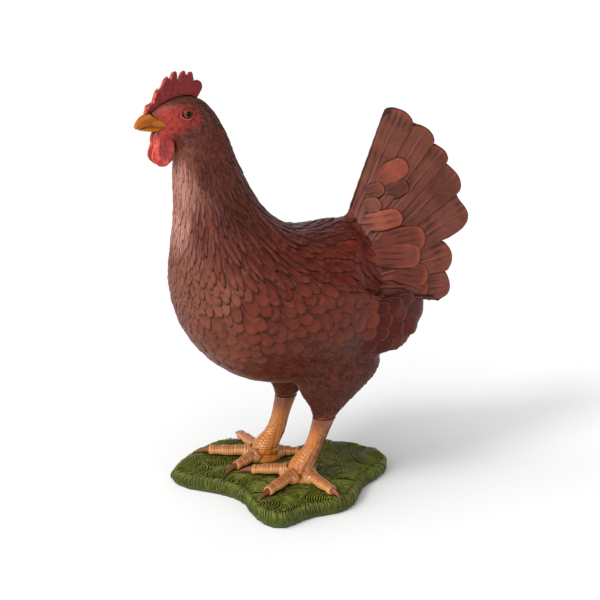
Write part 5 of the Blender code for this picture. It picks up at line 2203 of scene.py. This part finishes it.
WING_ENDS = (
    Plume((107.0, 160.0), -24.0, 23.0, 46.0, 0.5, 2.7, Shade.WING_REAR, Shade.WING),
    Plume((127.0, 171.0), -19.0, 24.0, 50.0, 0.7, 2.7, Shade.WING_REAR, Shade.WING),
    Plume((122.0, 201.5), -3.0, 14.0, 50.0, 0.6, 2.8, Shade.WING_REAR, Shade.WING),
    Plume((137.8, 188.0), -9.0, 24.0, 56.0, 1.0, 2.9, Shade.WING_REAR, Shade.WING),
    Plume((90.0, 155.0), -26.0, 19.0, 36.0, 1.0, 2.5, Shade.WING_REAR, Shade.WING),
    Plume((106.0, 172.5), -18.0, 20.0, 38.0, 1.3, 2.5, Shade.WING_REAR, Shade.WING),
    Plume((109.0, 188.0), -10.0, 20.0, 40.0, 1.5, 2.5, Shade.WING_REAR, Shade.WING),
    Plume((104.0, 201.0), -4.0, 14.0, 38.0, 1.2, 2.5, Shade.WING_REAR, Shade.WING),
    Plume((75.0, 158.5), -24.0, 18.0, 32.0, 1.5, 2.4, Shade.WING_REAR, Shade.WING),
    Plume((87.0, 170.5), -19.0, 19.0, 34.0, 1.8, 2.4, Shade.WING_REAR, Shade.WING),
    Plume((91.0, 184.5), -12.0, 20.0, 36.0, 2.0, 2.4, Shade.WING_REAR, Shade.WING),
    Plume((88.0, 197.5), -8.0, 16.0, 34.0, 1.6, 2.4, Shade.WING_REAR, Shade.WING),
    Plume((71.0, 174.0), -20.0, 18.0, 30.0, 2.2, 2.3, Shade.WING, Shade.WING),
    Plume((74.0, 188.0), -14.0, 19.0, 32.0, 2.4, 2.3, Shade.WING, Shade.WING),
    Plume((73.0, 202.0), -14.0, 17.0, 30.0, 2.0, 2.3, Shade.WING, Shade.WING),
)


@dataclass
class Plumes:
    """Lays large feathers on a smooth surface.

    Attributes:
        columns: Points across one.
        rows: Points along one.
        thick: Thickness of one.
        climb: Where along it the feather starts and ends to rise.
        sunk: How deep its root lies under the surface.
    """

    columns: int = 17
    rows: int = 22
    thick: float = 1.4
    climb: Pair = (-0.25, 0.75)
    sunk: float = 2.6

    def lay(self, clay: Clay, plume: Plume, sign: float, surface: Surface, tint: float) -> None:
        """Add one feather.

        Args:
            clay: Where it goes.
            plume: Its sizes.
            sign: Its side.
            surface: Gives the surface's x from y and z.
            tint: Its own shade, from 0 to 1.
        """
        u, v = np.meshgrid(np.linspace(-1, 1, self.columns), np.linspace(0, 1, self.rows))
        u = np.sign(u) * np.abs(u) ** 1.05
        turn = math.radians(plume.heading)
        ahead, up = np.array((math.cos(turn), math.sin(turn))), np.array((-math.sin(turn), math.cos(turn)))
        swell = 0.72 + 0.28 * np.sin(np.minimum(v / 0.6, 1) * math.pi / 2)
        half = plume.width / 2 * swell * (1 - 0.06 * v**4)
        off, out = u * half, np.abs(u)
        round_end = 1 - (1 - out**plume.square) ** (1 / plume.square)
        long = plume.length * v - 0.5 * plume.width * round_end * v**2
        flat = np.array(plume.tip) - ahead * plume.length + long[..., None] * ahead + off[..., None] * up
        y, z = flat[..., 0], flat[..., 1]
        points = np.stack([surface(y, z), y, z], axis=-1)
        away = np.abs(off)
        rise = toward(-self.sunk, plume.lift, step(*self.climb, v)) - 0.75 * out**2.6
        rise -= 0.7 * step(0.93, 1.0, v) ** 2
        rise += (0.42 * hump(off, 0.0, 0.5) - 0.22 * hump(away, 1.3, 0.6)) * (1 - v)
        barb = long - 1.15 * away**0.95
        rise += 0.08 * np.sin(barb * 2.1 + 1.5 * np.sin(0.3 * off)) * step(0.6, 1.6, away)
        rim = np.clip(step(0.72, 1.0, out) * step(0.3, 0.8, v) + step(0.85, 1.0, v), 0, 1)
        stroke = strokes(off, long, plume.tip[1])
        paint = over(np.tile(plume.shade.value, (*v.shape, 1)), plume.edge.value, 0.6 * rim)
        # Darker towards the root; the dark strokes and the dark edge are partly a real wash and partly painted
        # shade.
        paint = paint * ((0.8 + 0.2 * step(0.1, 0.7, v)) * (1 + 0.32 * stroke))[..., None]
        lines = 0.7 * step(0.1, 0.6, -stroke) * step(0.9, 0.45, v)
        wash = np.maximum(lines, 0.9 * np.maximum(step(0.93, 1.0, out), step(0.96, 1.0, v)))
        normal = outward(points)
        top, under = points + normal * rise[..., None], points + normal * (rise - self.thick)[..., None]
        clay.add_feather(top, under, sign, tint=tint, paint=paint, barb=barb, across=u, crest=rim, wash=wash)

    def build(self, name: str, plumes: Sequence[Plume], surfaces: Sequence[Surface], seed: int) -> Item:
        """Lay all feathers of a piece on both sides.

        Args:
            name: Name of the piece.
            plumes: The feathers.
            surfaces: Surfaces of the left and of the right side.
            seed: Start of its random numbers.

        Returns:
            The piece.
        """
        rng = np.random.default_rng(seed)
        clay = Clay()
        for (_, sign), surface in zip(SIDES, surfaces):
            for plume in plumes:
                self.lay(clay, plume, sign, surface, float(rng.random()))
        return facing_out(clay.build(name, FEATHERS.material()))


def fitted(node: str, sign: float, low: Pair, high: Pair) -> Surface:
    """Fit a smooth sheet to the outer side of a CAD node.

    Args:
        node: The node.
        sign: Side that it is on.
        low: Lowest y and z of the sheet.
        high: Highest y and z.

    Returns:
        Function that gives x, as on the left side, from y and z.
    """
    shape = copied((node,))
    tree = BVHTree.FromBMesh(shape)
    shape.free()
    rows, found = [], []
    for y in np.linspace(low[0], high[0], 26):
        for z in np.linspace(low[1], high[1], 22):
            spot, normal, _, _ = tree.ray_cast(Vector((sign * 0.2, y * MM, z * MM)), Vector((-sign, 0, 0)))
            if spot is not None and abs(normal.x) > 0.6:
                rows.append((y, z))
                found.append(abs(spot.x) / MM)
    places = np.array(rows)
    middle, half = places.mean(axis=0), places.std(axis=0)

    def terms(y: Array, z: Array) -> Array:
        """Powers of the places that the sheet is made of."""
        y, z = (y - middle[0]) / half[0], (z - middle[1]) / half[1]
        return np.stack([y**a * z**b for a in range(4) for b in range(4 - a)], axis=-1)

    weights = np.linalg.lstsq(terms(*places.T), np.array(found), rcond=None)[0]
    return lambda y, z: terms(y, z) @ weights


@dataclass
class Turf:
    """Carved grass base: nested arcs of blades on top, and blades that hang over the edge.

    Attributes:
        node: Its CAD node.
        middle: Middle of the base, as x and y.
        gap: Distance from one blade to the next.
        radius: Radius of a blade.
        clumps: Smallest and largest reach of a clump.
        spacing: Least distance between the middles of two clumps.
        pace: Distance between the points of an arc.
        seed: Start of its random numbers.
        bearings: Directions in which the rim is measured.
        rim_height: Height at which it is measured.
        hanging_points: Points of a hanging blade; a path with so many makes a slim blade.
        slim: Thickness of a slim blade, as a share.
        cover: How deep the soil lies under the CAD surface.
        foot_height: Below this height only the soil's sides move.
        clear: How high the soil's lowest points stand over the floor.
        light: Paint of the soil, as a share of the base coat.
        greens: Paints of the blades, each with its share.
        tree: Faces of the CAD node.
        rim: Rows of direction and reach of the base's side.
    """

    node: str = "base_grass"
    middle: Pair = (5.0, 0.0)
    gap: float = 2.4
    radius: float = 0.95
    clumps: Pair = (17.0, 27.0)
    spacing: float = 16.5
    pace: float = 1.7
    seed: int = 11
    bearings: int = 240
    rim_height: float = 8.0
    hanging_points: int = 10
    slim: float = 0.8
    cover: float = 1.25
    foot_height: float = 1.5
    clear: float = 0.02
    light: float = 1.15
    greens: tuple[tuple[Triple, float], ...] = (
        ((0.068, 0.094, 0.006), 0.34), ((0.098, 0.114, 0.008), 0.34),
        ((0.132, 0.130, 0.014), 0.16), ((0.082, 0.070, 0.013), 0.16))
    tree: BVHTree = field(init=False)
    rim: Array = field(init=False)

    def build(self) -> list[Item]:
        """Make the soil body and its blades.

        Returns:
            The two pieces.
        """
        shape = copied((self.node,))
        self.tree = BVHTree.FromBMesh(shape)
        shape.free()
        turns = np.linspace(0, 2 * math.pi, self.bearings, endpoint=False)
        reach = np.array([self.side_reach(turn) for turn in turns])
        self.rim = np.c_[np.r_[turns - 2 * math.pi, turns, turns + 2 * math.pi], np.tile(reach, 3)]
        return [self.soil(), self.blades()]

    def soil(self) -> Item:
        """Cast the soil, sunk under its blades but not into the floor.

        Returns:
            The soil.
        """
        item = Moulding("grass_soil", (self.node,), "grass", GRASS, voxel=2.2, rounds=3).build()
        mesh, places = item.data, read_points(item.data)
        sunk = places - read_points(mesh, "normal") * self.cover
        height = np.where(places[:, 2] < self.foot_height, places[:, 2], sunk[:, 2])
        sunk[:, 2] = np.maximum(height, self.clear)
        write_places(mesh, sunk)
        mesh.attributes.remove(mesh.attributes["paint"])
        write_value(mesh, "paint", np.tile(np.array(GRASS.base) * self.light, (len(places), 1)))
        return item

    def side_reach(self, turn: float) -> float:
        """Reach of the base's side in one direction."""
        x, y = self.middle
        start = Vector((x + 200 * math.cos(turn), y + 200 * math.sin(turn), self.rim_height)) * MM
        spot = self.tree.ray_cast(start, Vector((-math.cos(turn), -math.sin(turn), 0)))[0] / MM
        return math.hypot(spot.x - x, spot.y - y)

    def inside(self, places: Array, margin: float) -> Array:
        """Tell which flat places lie inside the rim by a margin."""
        gap = places - self.middle
        reach = np.interp(np.arctan2(gap[:, 1], gap[:, 0]), self.rim[:, 0], self.rim[:, 1])
        return np.hypot(*gap.T) < reach - margin

    def ground(self, places: Array) -> Array:
        """Lay flat places on the top of the base."""
        rows = []
        for x, y in places:
            spot = self.tree.ray_cast(Vector((x * MM, y * MM, 0.06)), Vector((0, 0, -1)))[0]
            rows.append((x, y, (spot.z / MM if spot is not None else 0.0) - 0.45 * self.radius))
        return np.array(rows)

    def arcs(self, rng: np.random.Generator) -> list[Array]:
        """Nested arcs, clump over clump.

        Args:
            rng: Random numbers.

        Returns:
            Paths in space.
        """
        tries = rng.uniform(-130, 130, (2600, 2))
        centres: list[Array] = []
        for place in tries[self.inside(tries, 3.0)]:
            if all(np.hypot(*(place - other)) > self.spacing for other in centres):
                centres.append(place)
        middles = np.array(centres)
        reach = rng.uniform(*self.clumps, len(middles))
        rank = np.hypot(*(middles - self.middle).T) + rng.uniform(-16, 16, len(middles))
        shift = rng.uniform(0, self.gap, len(middles))
        paths = []
        for k, middle in enumerate(middles):
            bend = rng.uniform(0, 2 * math.pi, 2)
            ahead, aside = math.cos(bend[0]), math.sin(bend[0])
            turned = np.array(((ahead, aside), (-aside, ahead)))
            for radius in np.arange(1.2 + 0.3 * shift[k], reach[k], self.gap):
                count = max(8, int(2 * math.pi * radius / self.pace))
                spin = np.linspace(0, 2 * math.pi, count, endpoint=False)
                wave = radius * (1 + 0.10 * np.sin(2 * spin + bend[0]) + 0.05 * np.sin(3 * spin + bend[1]))
                ring = middle + np.c_[wave * np.cos(spin), 1.25 * wave * np.sin(spin)] @ turned
                gaps = np.linalg.norm(ring[:, None] - middles[None], axis=2)
                above = np.where(gaps < reach[None] * 0.98, rank[None], -1.0)
                above[:, k] = rank[k]
                mine = (above.argmax(axis=1) == k) & self.inside(ring, 5.0)
                dome = 1.4 * (1 - (radius / reach[k]) ** 2) - 0.3
                paths += [self.ground(path) + (0, 0, dome) for path in self.runs(ring, mine)]
        return paths

    def runs(self, ring: Array, mine: Array) -> list[Array]:
        """Cut a closed ring into the runs that may be kept.

        Args:
            ring: Flat places.
            mine: Which of them may be kept.

        Returns:
            The runs.
        """
        if mine.all():
            return [np.vstack([ring, ring[:1]])]
        if not mine.any():
            return []
        start = int(np.nonzero(~mine)[0][0])
        ring, mine = np.roll(ring, -start, axis=0), np.roll(mine, -start)
        edges = np.flatnonzero(np.diff(np.r_[0, mine.astype(int), 0]))
        return [ring[a:b] for a, b in zip(edges[::2], edges[1::2]) if b - a >= 3]

    def hanging(self, rng: np.random.Generator) -> list[Array]:
        """Blades that bend over the rim and hang to the floor.

        Args:
            rng: Random numbers.

        Returns:
            Paths in space.
        """
        turns, reaches = self.rim[self.bearings:2 * self.bearings].T
        around = np.c_[np.cos(turns), np.sin(turns)] * reaches[:, None]
        length = np.linalg.norm(np.diff(np.vstack([around, around[:1]]), axis=0), axis=1)
        whole = np.r_[0, np.cumsum(length)]
        paths = []
        for spot in np.arange(0, whole[-1], self.gap * 0.42):
            turn = np.interp(spot, whole, np.r_[turns, 2 * math.pi])
            reach = np.interp(turn, self.rim[:, 0], self.rim[:, 1])
            lean = 0.5 * math.sin(7 * turn + 1.3) * math.sin(3 * turn) + rng.normal(0.0, 0.18)
            low, high = rng.uniform(-10, 22), rng.uniform(40, 82)
            rows = []
            for rise in np.radians(np.linspace(high, low, self.hanging_points)):
                swing = turn + lean * (math.radians(high) - rise) * 9.0 / reach
                heading = Vector((math.cos(swing), math.sin(swing), 0.0))
                pivot = (Vector((*self.middle, 4.0)) + heading * (reach - 15)) * MM
                way = heading * math.cos(rise) + Vector((0.0, 0.0, math.sin(rise)))
                hit, normal, _, _ = self.tree.ray_cast(pivot, way)
                if hit is None:
                    continue
                inward = -normal if normal.dot(way) > 0 else normal
                x, y, z = hit / MM + inward * self.radius * 1.05
                rows.append((x, y, max(z, self.radius * 0.9)))
            if len(rows) > 3:
                paths.append(np.array(rows))
        return paths

    def blades(self) -> Item:
        """Make all blades from their paths.

        Returns:
            The blades as one piece.
        """
        rng = np.random.default_rng(self.seed)
        paths = self.arcs(rng) + self.hanging(rng)
        paints, shares = zip(*self.greens)
        mesh = bpy.data.meshes.new("grass_blades")
        starts = np.cumsum([0] + [len(path) for path in paths])
        edges = [(a + k, a + k + 1) for a, b in zip(starts, starts[1:]) for k in range(b - a - 1)]
        mesh.from_pydata((np.vstack(paths) * MM).tolist(), edges, [])
        width, paint = [], []
        for path in paths:
            thick = self.radius * MM * (self.slim if len(path) == self.hanging_points else 1.0)
            swell = 0.35 + 0.65 * np.sin(math.pi * np.linspace(0, 1, len(path))) ** 0.45
            width.append(thick * rng.uniform(0.85, 1.1) * swell)
            shade = np.array(paints[int(rng.choice(len(paints), p=shares))]) * rng.uniform(0.8, 1.15)
            paint.append(np.tile(shade, (len(path), 1)))
        write_value(mesh, "thickness", np.concatenate(width))
        write_value(mesh, "paint", np.vstack(paint))
        item = bpy.data.objects.new("grass_blades", mesh)
        bpy.context.scene.collection.objects.link(item)
        LOG.info("grass blades: %d", len(paths))
        return self.sweep().run(item, Sides=5, Finish=GRASS.material())

    def sweep(self) -> Group:
        """Build the nodes that turn edge chains into blades.

        Returns:
            The tree.
        """
        group = Group("sweep_blades", Paths="Geometry", Sides="Int", Finish="Material")
        curve = group.flow("GeometryNodeMeshToCurve", {0: group.inputs["Paths"]})
        circle = {"Resolution": group.inputs["Sides"], "Radius": 1.0}
        ring = group.flow("GeometryNodeCurvePrimitiveCircle", circle, "Curve")
        thick = group.carried("thickness")
        inputs = {"Curve": curve, "Profile Curve": ring, "Scale": thick, "Fill Caps": True}
        whole = group.flow("GeometryNodeCurveToMesh", inputs)
        whole = group.flow("GeometryNodeRealizeInstances", {"Geometry": whole})
        # Partly dry brush, partly painted highlight: the blades' upward faces get the light paint.
        up = group.flow("ShaderNodeSeparateXYZ", {0: group.flow("GeometryNodeInputNormal")}, "Z")
        group.close(group.store(whole, "crest", group.ease(0.2, 0.95, up)))
        return group


@dataclass
class Studio:
    """Pale floor, soft lights and the camera.

    Attributes:
        azimuth: Camera's turn about the bird.
        elevation: Camera's height angle.
        distance: Camera's distance, in metres.
        target: Point that the camera looks at, in metres.
        lens: Focal length.
        suns: Name, azimuth, elevation, strength and width of each light.
        sky: Strength of the sky low down and high up.
        floor: Half size of the floor.
        grey: Paint of the floor.
    """

    azimuth: float = 65.0
    elevation: float = 18.0
    distance: float = 1.3
    target: Triple = (0.0, 0.0199, 0.197)
    lens: float = 78.0
    suns: tuple[tuple[str, float, float, float, float], ...] = (
        ("key", 14.0, 48.0, 2.15, 80.0),
        ("spark", 14.0, 44.0, 1.1, 18.0),
        ("fill", 100.0, 34.0, 0.4, 70.0),
        ("back", 230.0, 40.0, 0.3, 70.0),
    )
    sky: Pair = (1.0, 0.12)
    floor: float = 9000.0
    grey: float = 0.95

    def aim(self, item: Item, azimuth: float, elevation: float, distance: float) -> None:
        """Stand an object off the target and turn it to look at the target.

        Args:
            item: Camera or light.
            azimuth: Turn about the bird, in degrees from the front.
            elevation: Height angle, in degrees.
            distance: Distance from the target, in metres.
        """
        bpy.context.scene.collection.objects.link(item)
        turn, rise = math.radians(azimuth), math.radians(elevation)
        way = Vector((math.sin(turn) * math.cos(rise), -math.cos(turn) * math.cos(rise), math.sin(rise)))
        item.location = Vector(self.target) + way * distance
        item.rotation_euler = way.to_track_quat("Z", "Y").to_euler()

    def build(self) -> None:
        """Set the studio up."""
        scene = bpy.context.scene
        scene.camera = bpy.data.objects.new("camera", bpy.data.cameras.new("camera"))
        scene.camera.data.lens = self.lens
        scene.camera.data.sensor_width = 36.0
        scene.camera.data.clip_start = 0.01
        self.aim(scene.camera, self.azimuth, self.elevation, self.distance)
        for name, azimuth, elevation, power, width in self.suns:
            data = bpy.data.lights.new(name, "SUN")
            data.energy = power
            data.angle = math.radians(width)
            self.aim(bpy.data.objects.new(name, data), azimuth, elevation, 2.0)
        scene.world = bpy.data.worlds.new("studio")
        scene.world.use_nodes = True
        wiring = Wiring(scene.world.node_tree)
        way = wiring.flow("ShaderNodeTexCoord", out="Generated")
        height = wiring.flow("ShaderNodeSeparateXYZ", {0: way}, "Z")
        low, high = self.sky
        background = scene.world.node_tree.nodes["Background"]
        background.inputs["Color"].default_value = (1.0, 1.0, 1.0, 1.0)
        wiring.feed(background.inputs["Strength"], wiring.ease(0.5, 0.2, height) * (low - high) + high)
        scene.view_settings.view_transform = "Standard"
        self.lay_floor()

    def lay_floor(self) -> None:
        """Lay the pale floor."""
        clay = Clay()
        corners = np.array([(-1, -1, 0), (1, -1, 0), (1, 1, 0), (-1, 1, 0)]) * self.floor
        clay.add(corners, [(0, 1, 2, 3)])
        made = bpy.data.materials.new("pale_floor")
        made.use_nodes = True
        shader = made.node_tree.nodes["Principled BSDF"]
        shader.inputs["Base Color"].default_value = opaque((self.grey,) * 3)
        shader.inputs["Roughness"].default_value = 0.9
        clay.build("floor", made)


def ride(item: Item, slot: str, *nodes: str) -> None:
    """Tie a piece to the frame.

    Args:
        item: The piece.
        slot: Material slot; not used.
        *nodes: CAD nodes it stands for.
    """
    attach(item, BODY)
    if nodes:
        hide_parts(*nodes)
    LOG.info("%s: %d faces", item.name, len(item.data.polygons))


def add_body() -> Skin:
    """Build skin and coat.

    Returns:
        The skin.
    """
    lies = LieField(LIES)
    skin = Skin(Face(), lies)
    ride(skin.build(), "plumage", *skin.flesh)
    for piece in Plumage(skin, lies).build():
        tract = piece.name.removeprefix("coat_")
        ride(piece, "plumage" if tract == Tract.TRUNK.value else tract + "_plumage")
    return skin


def add_tail_and_wings() -> None:
    """Build the tail's fan, its coverts and the wing ends."""
    fan = Fan()
    for seed, (side, sign) in enumerate(SIDES):
        ride(fan.build(sign, "tail_fan_" + side, seed), "tail_plumage", "tail_" + side)
    ride(Plumes().build("tail_coverts", COVERTS, (fan.aside, fan.aside), 3), "tail_plumage")
    wings = [fitted("wing_" + side, sign, (30.0, 145.0), (140.0, 205.0)) for side, sign in SIDES]
    layered = Plumes(columns=15, rows=16, climb=(0.0, 1.3))
    ride(layered.build("wing_ends", WING_ENDS, wings, 5), "wing_plumage")


def add_head(skin: Skin) -> None:
    """Build comb, wattles, bill and eyes.

    Args:
        skin: Skin that the comb stands on.
    """
    comb = Comb("comb_lobes", ("comb",), "comb", COMB_FLESH, rounds=14, foot=3.0)
    ride(comb.build(skin), comb.slot, *comb.nodes)
    pieces = [Wattle("wattle_lobe_" + side, ("wattle_" + side,), "wattle", WATTLE_FLESH, rounds=30, sign=sign)
              for side, sign in SIDES]
    halves = ("bill_upper", "bill_lower")
    pieces.append(Bill("bill_horn", halves, "bill", HORN, voxel=0.42, rounds=14, swell=0.25))
    for piece in pieces:
        ride(piece.build(), piece.slot, *piece.nodes)
    for (side, _), eye in zip(SIDES, Eyes().build()):
        ride(eye, "eye", "eye_" + side)


def add_legs() -> None:
    """Build both legs and their claws; the right foot stands ahead of the left one."""
    stances = (
        ((30.0, 7.0), (36.0, 30.0, 82.0), ((-124.0, 50.0), (-62.0, 54.0), (13.0, 50.0), (142.0, 33.0))),
        ((-30.0, -7.5), (-36.0, 20.5, 82.0), ((-68.0, 42.0), (-119.5, 58.0), (-173.0, 51.0), (76.0, 37.0))))
    for (side, _), (hub, plug, toes) in zip(SIDES, stances):
        ends = [f"_{side}_{toe}" for toe in ("inner", "middle", "outer", "hind")]
        nodes = ("shank_" + side, *("toe" + end for end in ends))
        foot = Foot("leg_" + side, nodes, "leg", SCALES, voxel=0.55, swell=0.3, hub=hub, plug=plug, toes=toes)
        claws = Claws("claws_" + side, tuple("claw" + end for end in ends), "claw", CLAW_HORN, voxel=0.4)
        for piece in (foot, claws):
            ride(piece.build(), piece.slot, *piece.nodes)


def main() -> None:
    """Build the whole bird and its studio."""
    logging.basicConfig(level=logging.INFO, format="%(name)s: %(message)s")
    Studio().build()
    skin = add_body()
    add_tail_and_wings()
    add_head(skin)
    add_legs()
    soil, blades = Turf().build()
    ride(soil, "grass", "base_grass")
    ride(blades, "grass")


if __name__ == "__main__":
    main()
